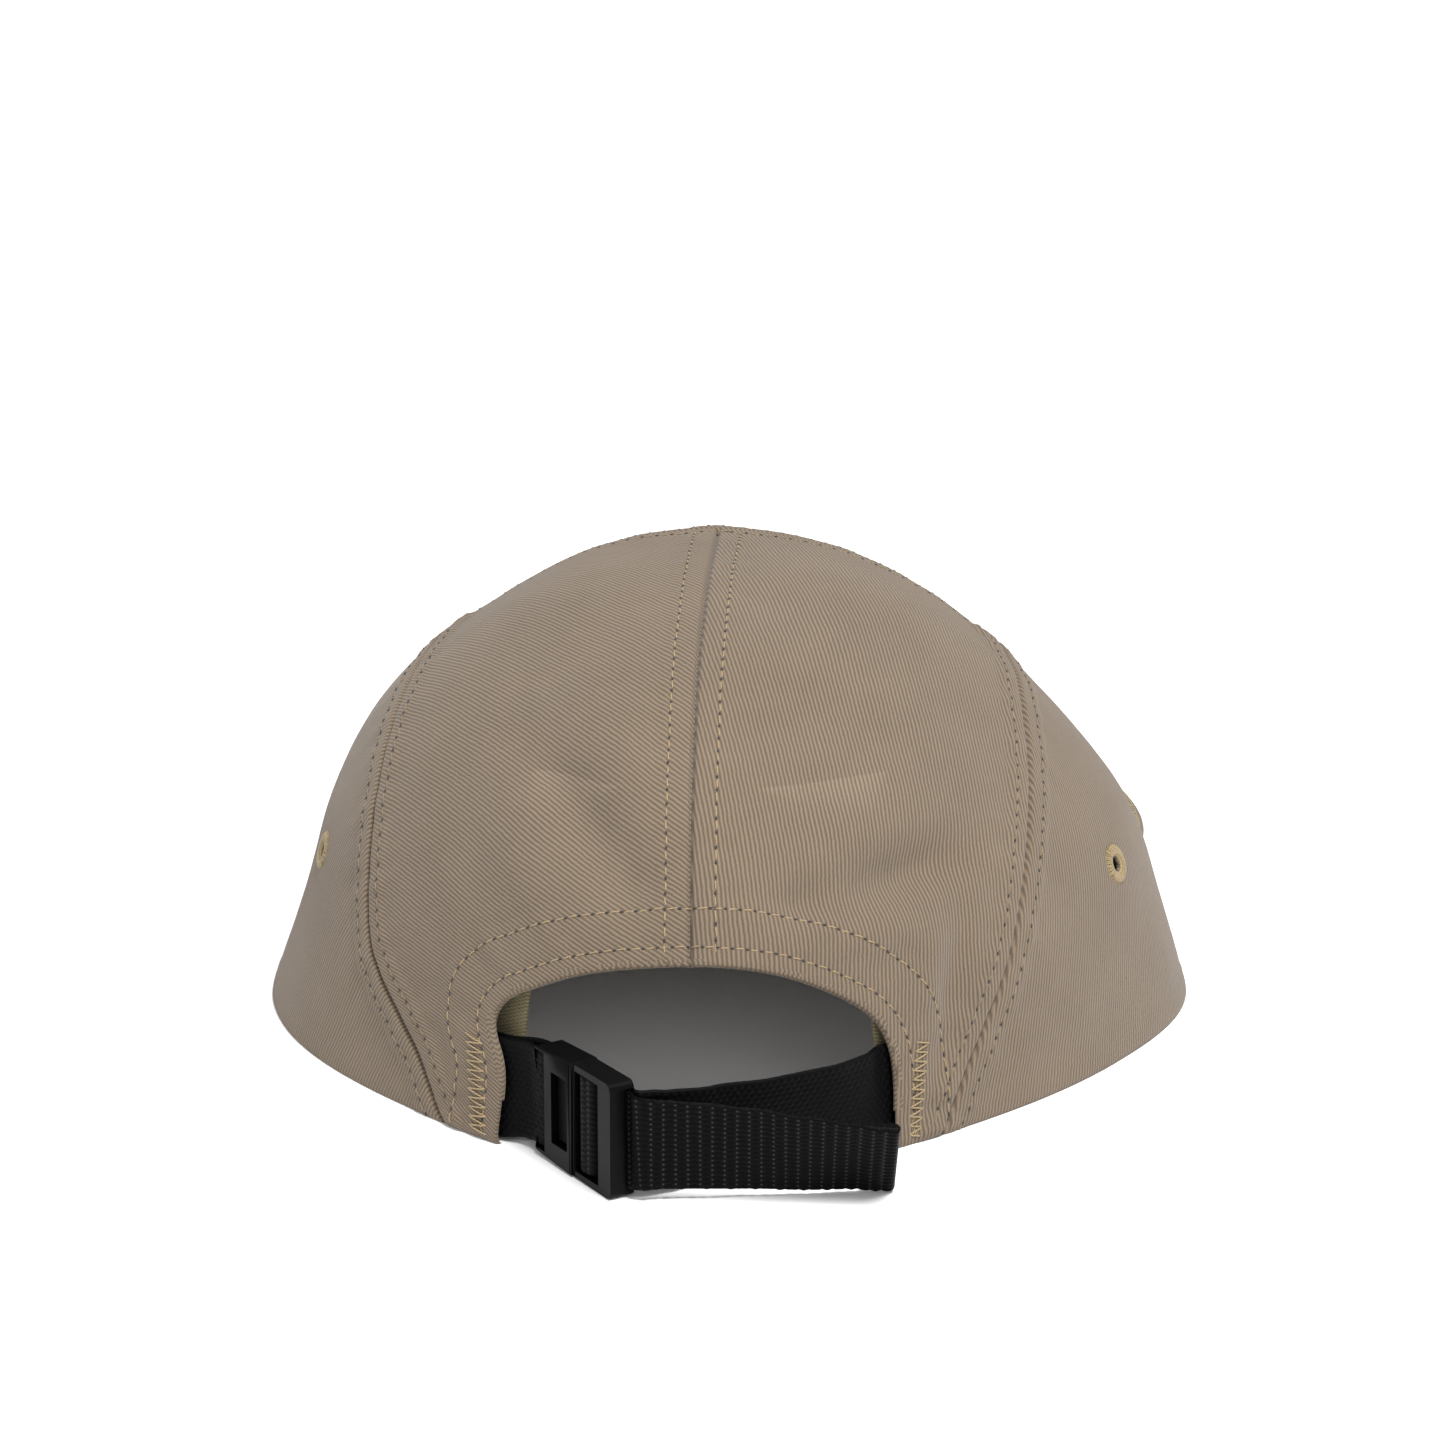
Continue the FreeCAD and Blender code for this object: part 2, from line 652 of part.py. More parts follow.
# ---------------------------------------------------------------- strap webbing
# The buckle frame: ALONG runs level from the left loop to the plug, OUT points away from the head.
angle = math.radians(dim("buckle_angle"))
ALONG = V(math.cos(angle), math.sin(angle), 0)
OUT = V(math.sin(angle), -math.cos(angle), 0)
BUCKLE = V(dim("buckle_x"), dim("buckle_y"), 0)
BUCKLE_Z = dim("buckle_z")
SETBACK = 2.0  # the buckle bodies' origin lies this far behind the BUCKLE point
WEB_HALF = dim("web_thick") / 2
BAR_CENTRE = 0.95
BAR_BEND = dim("bar_thick") / 2 + 0.13 + WEB_HALF
LADDER_BEND = dim("ladder_thick") / 2 + 0.15 + WEB_HALF
LADDER_START = dim("ladder_start") - SETBACK
LADDER_END = LADDER_START + dim("ladder_length")


def local(along, out):
    return BUCKLE + ALONG * along + OUT * out


def under(turn, depth):
    """Plan point of a strap whose outer face lies at a depth under the crown at the rear."""
    crown = at(turn, 10.0 / CROWN_HEIGHT)
    point = crown - level_normal(crown) * (depth + WEB_HALF)
    point.z = 0
    return point


def ribbon(stations, sections, end_swell=()):
    """Strap lofted through stations of (plan point, centre height, lean in degrees).
    end_swell holds the thickness factors of the last stations."""
    points, heights, leans = zip(*stations)
    swells = [1.0] * (len(points) - len(end_swell)) + list(end_swell)
    path = through(points, False)
    shares = chord_shares(points)

    def eased(values, share):
        k = next(i for i in range(1, len(shares)) if share <= shares[i] + 1e-12)
        part = smooth((share - shares[k - 1]) / (shares[k] - shares[k - 1]))
        return values[k - 1] + (values[k] - values[k - 1]) * part

    outlines = []
    for i in range(sections + 1):
        share = i / float(sections)
        along = path(min(share + 0.002, 1.0)) - path(max(share - 0.002, 0.0))
        along.z = 0
        along.normalize()
        out = V(along.y, -along.x, 0)
        lean = math.radians(eased(leans, share))
        across = (V(0, 0, 1) * math.cos(lean) + out * math.sin(lean)) * (dim("web_width") / 2)
        face = out * math.cos(lean) - V(0, 0, 1) * math.sin(lean)
        face = face * (WEB_HALF * eased(swells, share))
        point = path(share)
        centre = V(point.x, point.y, eased(heights, share))
        corners = [centre + across + face, centre - across + face,
                   centre - across - face, centre + across - face]
        outlines.append(Part.makePolygon(corners + [corners[0]]))
    return Part.makeLoft(outlines, True, False)


def bar_turn(degrees):
    turn = math.radians(degrees)
    return local(BAR_CENTRE + BAR_BEND * math.cos(turn), BAR_BEND * math.sin(turn))


# The strap tables below hold (plan point, centre height, lean).
# left loop: out from under the left panel, round the socket's bar and back
LOOP = [
    (under(-121.6, 1.5), 10.3, -9.5), (under(-119.3, 1.5), 10.3, -9.5),
    (under(-116.9, 1.5), 10.4, -9.5), (under(-114.6, 1.5), 10.6, -9),
    (local(-4.2, 1.75), 11.6, -3), (local(-1.6, BAR_BEND - 0.02), 11.9, 0),
] + [(bar_turn(degrees), 12.0, 0) for degrees in (90, 60, 30, 0, -30, -60, -90)] + [
    (local(-1.6, -BAR_BEND + 0.02), 11.9, 0), (local(-4.2, -1.45), 11.6, 3),
    (under(-114.8, 3.05), 10.6, 9), (under(-116.9, 3.1), 10.4, 9.5),
    (under(-119.3, 3.1), 10.3, 9.5), (under(-121.3, 3.1), 10.3, 9.5),
]
# strap from inside the plug to under the right panel
LOAD = [
    (local(17.45, -2.05), 12.0, 0), (local(19.5, -2.2), 12.0, 0), (local(22.0, -2.75), 12.0, 0),
    (local(24.5, -2.95), 12.0, 0), (local(27.2, -2.95), 12.0, 0), (local(28.8, -2.95), 12.0, 0),
    (V(-7.9, -115.3, 0), 11.9, 0), (V(-4.5, -114.2, 0), 11.8, 3), (V(3.0, -109.5, 0), 11.3, 8),
    (V(14.0, -102.5, 0), 10.6, 10), (V(25.0, -95.6, 0), 10.4, 8), (V(32.6, -90.0, 0), 10.35, 0),
    (under(-66.6, 1.75), 10.3, -9), (under(-63.4, 1.6), 10.3, -11.5),
    (under(-60.8, 1.6), 10.3, -11.5),
]
# tail: round the plug's ladder bar, then free to the right
TAIL = [
    (local(LADDER_START + 0.3, -LADDER_BEND), 12.0, 0),
    (local(LADDER_START - 0.35, -LADDER_BEND * 0.93), 12.0, 0),
    (local(LADDER_START - 0.85, -0.95), 12.0, 0),
    (local(LADDER_START - 0.97, 0.0), 12.0, 0),
    (local(LADDER_START - 0.85, 0.95), 12.0, 0),
    (local(LADDER_START - 0.35, LADDER_BEND * 0.93), 12.0, 0),
    (local(LADDER_START + 0.5, LADDER_BEND), 12.0, 0),
    (local(LADDER_END - 0.6, LADDER_BEND), 12.0, 0),
    (local(LADDER_END + 0.9, LADDER_BEND - 0.6), 12.0, 0),
    (local(LADDER_END + 1.5, -0.2), 12.0, 0),
    (local(LADDER_END + 2.6, -1.3), 12.0, 0),
    (local(25.0, -1.42), 12.0, 0), (local(27.6, -1.45), 12.0, 0), (local(28.9, -1.5), 12.0, 0),
    (V(-9.7, -118.5, 0), 12.0, 5), (V(-5.5, -118.7, 0), 12.0, 10), (V(2.0, -118.3, 0), 11.8, 13),
    (V(12.0, -117.6, 0), 11.2, 18), (V(22.0, -117.2, 0), 10.3, 24), (V(31.0, -116.4, 0), 9.6, 30),
    (V(36.0, -115.9, 0), 9.3, 32), (V(39.6, -115.5, 0), 9.2, 33),
]
feature("strap_loop_left", ribbon(LOOP, 120))
feature("strap_load", ribbon(LOAD, 90))
feature("strap_tail", ribbon(TAIL, 90, end_swell=(1.05, 1.9, 2.0)))

# bar tacks, the sewn bands that hold the strap's ends: (first x, last x, sideways shift at the top)
TACKS = [(-45.8, -41.6, -1.2), (40.4, 43.4, 1.3)]
TACK_BOTTOM, TACK_HEIGHT = 1.2, 18.6
TACK_INNER, TACK_OUTER = 0.08, 0.5  # heights of the two faces above the panels


def bar_tack(first_x, last_x, slant):
    grid = [[rear_at(first_x + (last_x - first_x) * i / 4.0 + slant * k / 8.0,
                     TACK_BOTTOM + TACK_HEIGHT * k / 8.0) for k in range(9)] for i in range(5)]
    inner, outer = [[[p + normal(p) * lift for p in column] for column in grid]
                    for lift in (TACK_INNER, TACK_OUTER)]
    return thick(inner, outer)


feature("strap_bar_tacks", Part.makeCompound([bar_tack(*tack) for tack in TACKS]))

# ---------------------------------------------------------------- visor
# (x, y) of the board's outer edge, from the left corner to just before the middle
VISOR_LEFT = [(-76.6, 57.5), (-81.6, 66.5), (-86.0, 80), (-88.2, 95), (-87, 112), (-81, 130),
              (-68.5, 146), (-48, 157.5), (-25, 163.6)]
VISOR_OUTLINE = VISOR_LEFT + [(0, 165.5)] + [(-x, y) for x, y in reversed(VISOR_LEFT)]
VISOR_HALF_WIDTH = max(x for x, y in VISOR_OUTLINE)
VISOR_TURN_LEFT, VISOR_TURN_RIGHT = 143.0, 37.0
VISOR_MARGIN = 0.012  # share left off at each corner
VISOR_STEPS = 48
COVER_GAP = 0.12
SQUEEZED_GAP = 0.06  # from the middle surface to a cover squeezed shut past the board
# (share from the crown to the board's edge, reach past the edge, squeeze)
VISOR_ROWS = [(k / 6.0, 0.0, 0.0) for k in range(7)]
COVER_ROWS = VISOR_ROWS + [(1.0, 0.9, 0.12), (1.0, 1.6, 0.6), (1.0, 2.2, 0.95), (1.0, 3.0, 1.0)]
visor_edge = through([V(x, y, 0) for x, y in VISOR_OUTLINE], False)


def visor_plan(share, outward, reach):
    """Plan point: share runs from left to right, outward from the crown to the edge at 1."""
    crown = at(VISOR_TURN_LEFT + (VISOR_TURN_RIGHT - VISOR_TURN_LEFT) * share, 0.03)
    start = crown + level_normal(crown) * dim("visor_gap")
    start.z = 0
    ray = visor_edge(share) - start
    span = max(ray.Length, 0.6)
    return start + unit(ray) * (span * outward + reach)


def visor_sheet(low, high, rows):
    """Curved sheet between two heights over the visor's middle surface."""
    near = low if low > 0 else high
    squeezed = math.copysign(SQUEEZED_GAP, near)
    lower, upper = [], []
    for i in range(VISOR_STEPS + 1):
        share = VISOR_MARGIN + (1 - 2 * VISOR_MARGIN) * i / VISOR_STEPS
        lower_column, upper_column = [], []
        for outward, reach, squeeze in rows:
            point = visor_plan(share, outward, reach)
            arch = max(0.0, 1 - (point.x / VISOR_HALF_WIDTH) ** 2)
            middle = dim("visor_z") + dim("visor_arch") * outward * arch
            z = middle + squeeze * (squeezed - near)
            lower_column.append(V(point.x, point.y, z + low))
            upper_column.append(V(point.x, point.y, z + high))
        lower.append(lower_column)
        upper.append(upper_column)
    return thick(lower, upper)


BOARD_HALF = dim("board_thick") / 2
COVER_NEAR = BOARD_HALF + COVER_GAP
COVER_FAR = COVER_NEAR + dim("cover_thick")
feature("visor_board", visor_sheet(-BOARD_HALF, BOARD_HALF, VISOR_ROWS))
feature("visor_top_cover", visor_sheet(COVER_NEAR, COVER_FAR, COVER_ROWS))
feature("visor_under_cover", visor_sheet(-COVER_FAR, -COVER_NEAR, COVER_ROWS))

# ---------------------------------------------------------------- the two-part buckle
# Each body is modelled flat: x along the strap, y up, z away from the head.
PLACE = FreeCAD.Placement(FreeCAD.Matrix(
    ALONG.x, 0, OUT.x, BUCKLE.x - SETBACK * ALONG.x,
    ALONG.y, 0, OUT.y, BUCKLE.y - SETBACK * ALONG.y,
    0, 1, 0, BUCKLE_Z,
    0, 0, 0, 1))


def body_named(label):
    body = doc.addObject("PartDesign::Body", label)
    body.Label = label
    return body


def bind(sketch, kind, places, value, expression):
    index = sketch.addConstraint(Sketcher.Constraint(kind, *places, value))
    sketch.setExpression("Constraints[%d]" % index, expression)


def four_sided(body, name, corners, start, length):
    """Closed sketch of four lines, its start and length bound to cells."""
    sketch = body.newObject("Sketcher::SketchObject", name)
    flat = next(f for f in body.Origin.OriginFeatures if f.Role == "XY_Plane")
    sketch.AttachmentSupport = [(flat, "")]
    sketch.MapMode = "FlatFace"
    for k in range(4):
        sketch.addGeometry(Part.LineSegment(corners[k], corners[(k + 1) % 4]), False)
    for k in range(4):
        sketch.addConstraint(Sketcher.Constraint("Coincident", k, 2, (k + 1) % 4, 1))
    bind(sketch, "DistanceX", (-1, 1, 0, 1), dim(start), "Dims." + start)
    bind(sketch, "DistanceX", (0, 1, 0, 2), dim(length), "Dims." + length)
    return sketch


def outline(body, name, start, length, half_start, half_end=None):
    """Outline symmetric about the strap's centre line, from cells."""
    half_end = half_end or half_start
    x0, x1 = dim(start), dim(start) + dim(length)
    y0, y1 = dim(half_start), dim(half_end)
    corners = [V(x0, -y0, 0), V(x1, -y1, 0), V(x1, y1, 0), V(x0, y0, 0)]
    sketch = four_sided(body, name, corners, start, length)
    sketch.addConstraint(Sketcher.Constraint("Symmetric", 0, 1, 2, 2, -1))
    sketch.addConstraint(Sketcher.Constraint("Symmetric", 0, 2, 2, 1, -1))
    bind(sketch, "DistanceY", (1, 1, 1, 2), 2 * y1, "2 * Dims." + half_end)
    bind(sketch, "DistanceY", (3, 2, 3, 1), 2 * y0, "2 * Dims." + half_start)
    return sketch


def rail_outline(body, name, start, length, inner, outer, side):
    """Rectangle between two heights, above (side 1) or below (side -1) the centre line."""
    x0, x1 = dim(start), dim(start) + dim(length)
    y0, y1 = sorted((side * dim(inner), side * dim(outer)))
    corners = [V(x0, y0, 0), V(x1, y0, 0), V(x1, y1, 0), V(x0, y1, 0)]
    sketch = four_sided(body, name, corners, start, length)
    for kind, line in (("Vertical", 1), ("Vertical", 3), ("Horizontal", 0), ("Horizontal", 2)):
        sketch.addConstraint(Sketcher.Constraint(kind, line))
    if side > 0:
        bind(sketch, "DistanceY", (-1, 1, 0, 1), dim(inner), "Dims." + inner)
        bind(sketch, "DistanceY", (-1, 1, 2, 1), dim(outer), "Dims." + outer)
    else:
        bind(sketch, "DistanceY", (0, 1, -1, 1), dim(outer), "Dims." + outer)
        bind(sketch, "DistanceY", (2, 1, -1, 1), dim(inner), "Dims." + inner)
    return sketch


def shifted(sketch, side, cell):
    """Move a sketch outward (side 1) or inward (side -1) by a cell's length."""
    sketch.AttachmentOffset = FreeCAD.Placement(V(0, 0, side * dim(cell)), FreeCAD.Rotation())
    sketch.setExpression("AttachmentOffset.Base.z", ("-" if side < 0 else "") + "Dims." + cell)
    return sketch


def pad(body, sketch, name, length, mid=True):
    result = body.newObject("PartDesign::Pad", name)
    result.Profile = sketch
    result.setExpression("Length", "Dims." + length)
    result.Midplane = mid
    doc.recompute()


def pocket(body, sketch, name, length, mid=False, back=False):
    doc.recompute()
    before = body.Shape.Volume
    result = body.newObject("PartDesign::Pocket", name)
    result.Profile = sketch
    result.setExpression("Length", "Dims." + length)
    result.Midplane = mid
    result.Reversed = back
    doc.recompute()
    if not body.Shape.Volume < before - 0.01:
        raise RuntimeError("pocket %s removed nothing" % name)


def dress(body, kind, name, size, cell, wanted):
    """Fillet or chamfer the wanted edges; size names the property bound to the cell."""
    base = body.Tip
    edges = ["Edge%d" % i for i, e in enumerate(body.Shape.Edges, 1) if wanted(e)]
    result = body.newObject("PartDesign::" + kind, name)
    result.Base = (base, edges)
    setattr(result, size, dim(cell))
    result.setExpression(size, "Dims." + cell)
    doc.recompute()


def runs_along_z(edge):
    return edge.BoundBox.XLength < 0.01 and edge.BoundBox.YLength < 0.01


def finish(body):
    doc.recompute()
    body.Placement = PLACE
    kept.append(body)


def buckle_socket():
    body = body_named("buckle_socket")
    block = outline(body, "socket_outline", "socket_start", "socket_length",
                    "socket_half_start", "socket_half_end")
    pad(body, block, "socket_block", "socket_thick")
    dress(body, "Fillet", "socket_corners", "Radius", "socket_round",
          lambda e: runs_along_z(e) and e.CenterOfMass.x < 3)
    # end bar for the fixed loop: thinned from both faces, then slotted behind the bar
    for word, side in (("outer", 1), ("inner", -1)):
        face = outline(body, "bar_face_" + word, "bar_open", "bar_span", "slot_half")
        pocket(body, shifted(face, side, "face_half"), "bar_relief_" + word, "bar_pocket",
               back=side < 0)
    slot = outline(body, "slot_outline", "slot_start", "slot_span", "slot_half")
    pocket(body, slot, "web_slot", "deep", mid=True)
    cavity = outline(body, "cavity_outline", "cavity_start", "mouth_length", "cavity_half")
    pocket(body, cavity, "plug_cavity", "cavity_thick", mid=True)
    window = outline(body, "window_outline", "window_start", "window_length", "window_half")
    pocket(body, window, "latch_window", "socket_thick", back=True)
    finish(body)


def buckle_plug():
    body = body_named("buckle_plug")
    frame = outline(body, "frame_outline", "frame_start", "frame_length",
                    "frame_half_start", "frame_half_end")
    pad(body, frame, "frame_block", "frame_thick")
    dress(body, "Fillet", "frame_corners", "Radius", "frame_round",
          lambda e: runs_along_z(e) and e.CenterOfMass.x > 28)
    opening = outline(body, "opening_outline", "opening_start", "opening_length", "opening_half")
    pocket(body, opening, "frame_opening", "deep", mid=True)
    lip = outline(body, "lip_outline", "lip_open", "lip_span", "opening_half")
    pocket(body, shifted(lip, -1, "frame_back"), "lip_relief_cut", "lip_relief", back=True)
    ladder = outline(body, "ladder_outline", "ladder_start", "ladder_length", "opening_half")
    pad(body, ladder, "ladder_bar", "ladder_thick")
    for word, side in (("upper", 1), ("lower", -1)):
        rail = rail_outline(body, "prong_" + word, "prong_start", "prong_length",
                            "prong_inner", "prong_outer", side)
        pad(body, rail, "prong_rail_" + word, "prong_thick")
    root = outline(body, "root_outline", "root_start", "root_length", "prong_outer")
    pad(body, root, "prong_root", "prong_thick")
    finish(body)


def latch_tongue():
    body = body_named("latch_tongue")
    plate = outline(body, "tongue_outline", "tongue_start", "tongue_length", "tongue_half")
    pad(body, plate, "tongue_plate", "tongue_thick", mid=False)
    # the outer edge at the end toward the socket's bar
    dress(body, "Chamfer", "tongue_nose", "Size", "nose_chamfer",
          lambda e: e.BoundBox.XLength < 0.01 and e.BoundBox.ZLength < 0.01
          and e.CenterOfMass.x < 8 and e.CenterOfMass.z > 1)
    finish(body)


buckle_socket()
buckle_plug()
latch_tongue()

# ---------------------------------------------------------------- checks and files
doc.recompute()
failed = [o.Name for o in doc.Objects if "Invalid" in o.State or "Error" in o.State]
if failed:
    raise RuntimeError("failed objects: %s" % failed)
for piece in kept:
    shape = piece.Shape
    if shape.isNull() or not shape.isValid() or not shape.Solids:
        raise RuntimeError("bad shape: %s" % piece.Label)
    if any(solid.Volume <= 0 for solid in shape.Solids):
        raise RuntimeError("inside-out solid: %s" % piece.Label)
os.makedirs("parts", exist_ok=True)
for piece in kept:
    piece.Shape.exportStep("parts/%s.step" % piece.Label)
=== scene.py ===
import math

import bmesh
import bpy
import numpy as np
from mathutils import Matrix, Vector


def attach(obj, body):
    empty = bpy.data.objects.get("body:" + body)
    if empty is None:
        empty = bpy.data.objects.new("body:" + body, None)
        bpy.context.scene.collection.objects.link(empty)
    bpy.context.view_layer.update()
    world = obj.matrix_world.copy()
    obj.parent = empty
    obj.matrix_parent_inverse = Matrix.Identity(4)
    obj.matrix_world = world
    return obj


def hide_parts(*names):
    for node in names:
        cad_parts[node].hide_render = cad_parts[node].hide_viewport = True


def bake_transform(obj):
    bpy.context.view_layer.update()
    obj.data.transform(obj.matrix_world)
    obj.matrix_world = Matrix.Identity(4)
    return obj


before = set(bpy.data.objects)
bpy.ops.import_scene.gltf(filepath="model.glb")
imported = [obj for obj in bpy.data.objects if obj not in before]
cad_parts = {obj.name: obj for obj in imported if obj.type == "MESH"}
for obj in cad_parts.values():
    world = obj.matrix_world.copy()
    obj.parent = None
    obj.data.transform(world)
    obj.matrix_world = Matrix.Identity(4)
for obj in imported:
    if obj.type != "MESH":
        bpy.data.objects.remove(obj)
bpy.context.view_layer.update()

RNG = np.random.RandomState(7)

# ------------------------------------------------------------------ crown surface (millimetres, as in the CAD)
PLAN_RIGHT = [105.872, 99.53, 92.372, 90.819, 93.363, 97.692, 96.227, 94.273, 95.25, 96.5]
PLAN_LEFT = [105.872, 101.736, 94.919, 93.463, 95.272, 96.488, 95.041, 93.111, 94.076, 96.5]
BULGE_RIGHT = [1, 1.001, 1.005, 1.024, 1.013, 0.997, 0.996, 1]
BULGE_LEFT = [1, 0.989, 0.98, 0.995, 1.01, 1.007, 0.96, 1]
TURN = [-90, -72, -54, -36, -18, 0, 20, 45, 70, 90]
LEVEL = [0, 0.12, 0.26, 0.42, 0.58, 0.74, 0.88, 1.0]
HIGH, LEAN = 94.424, -3.422
SIDE, REAR, FRONT = (0.217, 2.515, 2.519), (0.099, 2.005, 2.432), (0.14, 3.0, 2.8)


def spline(xs, ys, ends="knot"):
    xs, ys = np.array(xs, float), np.array(ys, float)
    n = len(xs)
    hs = np.diff(xs)
    a, b = np.zeros((n, n)), np.zeros(n)
    for i in range(1, n - 1):
        a[i, i - 1], a[i, i], a[i, i + 1] = hs[i - 1], 2 * (hs[i - 1] + hs[i]), hs[i]
        b[i] = 6 * ((ys[i + 1] - ys[i]) / hs[i] - (ys[i] - ys[i - 1]) / hs[i - 1])
    if ends == "flat":
        a[0, 0], a[0, 1] = 2 * hs[0], hs[0]
        b[0] = 6 * ((ys[1] - ys[0]) / hs[0])
        a[-1, -1], a[-1, -2] = 2 * hs[-1], hs[-1]
        b[-1] = -6 * ((ys[-1] - ys[-2]) / hs[-1])
    elif ends == "knot" and n > 3:
        a[0, 0], a[0, 1], a[0, 2] = -1 / hs[0], 1 / hs[0] + 1 / hs[1], -1 / hs[1]
        a[-1, -1], a[-1, -2], a[-1, -3] = 1 / hs[-1], -1 / hs[-1] - 1 / hs[-2], 1 / hs[-2]
    else:
        a[0, 0] = a[-1, -1] = 1
    mm = np.linalg.solve(a, b)

    def f(x):
        x = np.asarray(x, float)
        k = np.clip(np.searchsorted(xs, x) - 1, 0, n - 2)
        h = hs[k]
        p, q = (xs[k + 1] - x) / h, (x - xs[k]) / h
        return p * ys[k] + q * ys[k + 1] + ((p ** 3 - p) * mm[k] + (q ** 3 - q) * mm[k + 1]) * h * h / 6

    return f


plan_r, plan_l = spline(TURN, PLAN_RIGHT, "flat"), spline(TURN, PLAN_LEFT, "flat")
bulge_r, bulge_l = spline(LEVEL, BULGE_RIGHT), spline(LEVEL, BULGE_LEFT)


def profile(z, s):
    return (1 - s[0] * z) * np.maximum(1 - z ** s[2], 0.0) ** (1 / s[1])


def radius(c, sn, z):
    z = np.clip(z, 0, 1)
    t = np.degrees(np.arcsin(np.clip(sn, -1, 1)))
    w = sn * sn
    rp = np.where(c >= 0, plan_r(t), plan_l(t))
    m = np.where(c >= 0, bulge_r(z), bulge_l(z))
    return rp * ((1 - w) * profile(z, SIDE) * m + w * np.where(sn > 0, profile(z, FRONT), profile(z, REAR)))


def at(turn, z):
    a = np.radians(np.asarray(turn, float))
    z = np.asarray(z, float)
    r = radius(np.cos(a), np.sin(a), z)
    return np.stack([r * np.cos(a) + LEAN * z, r * np.sin(a), HIGH * z + 0 * a], -1)


def outside(p):
    z = p[..., 2] / HIGH
    x = p[..., 0] - LEAN * np.maximum(z, 0)
    d = np.maximum(np.hypot(x, p[..., 1]), 1e-9)
    return np.where(z >= 1, 1.0, d - radius(x / d, p[..., 1] / d, z))


CENTRE = np.array([0.0, 0.0, 18.0])


def unit(v):
    return v / np.maximum(np.linalg.norm(v, axis=-1, keepdims=True), 1e-12)


def cast(d, start=CENTRE, far=220.0):
    d = np.asarray(d, float)
    lo, hi = np.zeros(d.shape[:-1]), np.full(d.shape[:-1], far)
    for _ in range(36):
        mid = (lo + hi) / 2
        o = outside(start + d * mid[..., None]) > 0
        hi, lo = np.where(o, mid, hi), np.where(o, lo, mid)
    return start + d * ((lo + hi) / 2)[..., None]


def onto(p):
    return cast(unit(np.asarray(p, float) - CENTRE))


def top_at(x, y):
    return cast(np.array([0, 0, 1.0]), np.array([x, y, 5.0]), 120.0)


def rear_at(x, z):
    x, z = np.broadcast_arrays(np.asarray(x, float), np.asarray(z, float))
    return cast(np.broadcast_to(np.array([0, -1.0, 0]), x.shape + (3,)), np.stack([x, 0 * x, z], -1), 130.0)


def normal(p):
    e = 0.04
    g = np.stack([outside(p + np.eye(3)[k] * e) - outside(p - np.eye(3)[k] * e) for k in range(3)], -1)
    top = np.stack([p[..., 0] * 0.004, p[..., 1] * 0.004, np.ones(p.shape[:-1])], -1)
    return unit(np.where((p[..., 2] > HIGH * 0.992)[..., None], top, g))


def level_normal(p):
    n = normal(p)
    k = np.clip(p[..., 2] / 8.0, 0, 1)
    return unit(n * np.stack([np.ones_like(k), np.ones_like(k), k], -1))


def through(points, project=True):
    pts = np.array(points, float)
    ts = np.concatenate([[0], np.cumsum(np.linalg.norm(np.diff(pts, axis=0), axis=1))])
    ts /= ts[-1]
    fs = [spline(ts, pts[:, k]) for k in range(3)]

    def f(t):
        t = np.asarray(t, float)
        p = np.stack([g(t) for g in fs], -1)
        if project:
            p = onto(p)
            p = np.where((t <= 1e-9)[..., None], pts[0], p)
            p = np.where((t >= 1 - 1e-9)[..., None], pts[-1], p)
        return p

    return f


RIM_REAR_L, RIM_REAR_R, RIM_FRONT_L, RIM_FRONT_R = -122.3, -59.8, 136.0, 44.0
rl = [at(*p) for p in [(RIM_REAR_L, 0), (-124.5, .043), (-127.7, .11), (-132.5, .172), (-137.6, .225), (-141.6, .275), (-144.6, .34),
                       (-147.6, .427), (-151.5, .517), (-156.2, .602), (-162.0, .672), (-169.5, .728), (-182.2, .765), (-195.5, .778)]]
rr = [at(*p) for p in [(RIM_REAR_R, 0), (-58.5, .031), (-54.5, .118), (-49.8, .203), (-44.6, .29), (-40.2, .376), (-34.2, .476),
                       (-26.3, .57), (-17.5, .65), (-7.8, .715), (3.5, .752), (16.0, .77)]]
fr = [at(*p) for p in [(RIM_FRONT_R, 0), (43, .12), (41.5, .25), (38.5, .4), (33, .56), (26, .68), (16.0, .77)]]
fl = [at(*p) for p in [(RIM_FRONT_L, 0), (137, .12), (138.5, .25), (141.5, .4), (147, .56), (154, .682), (164.5, .778)]]
MID_X, MID_Y = -3.3, 28.0
cr = [top_at(MID_X, MID_Y)] + [top_at(x, y) for x, y in [(12, 27.6), (28, 26.2), (42, 23.7), (52, 21.0)]] + [rr[-1]]
cl = [top_at(MID_X, MID_Y)] + [top_at(x, y) for x, y in [(-18, 27.6), (-34, 26.2), (-47, 23.6), (-56, 21.0)]] + [rl[-1]]
ce = [at(-90, z) for z in (0, .1, .2, .3, .4, .5, .6, .7, .8, .87)] + [top_at(-3.1, y) for y in (-42, -30, -16, -2, 12)] + [top_at(MID_X, MID_Y)]
rear_seam_l, rear_seam_r, front_seam_r, front_seam_l = through(rl), through(rr), through(fr), through(fl)
cross_r, cross_l, centre = through(cr), through(cl), through(ce)
cross_all = through(list(reversed(cl)) + cr[1:])


def rim(a, b):
    return lambda t: at(a + (b - a) * np.asarray(t, float), 0.0 * np.asarray(t, float))


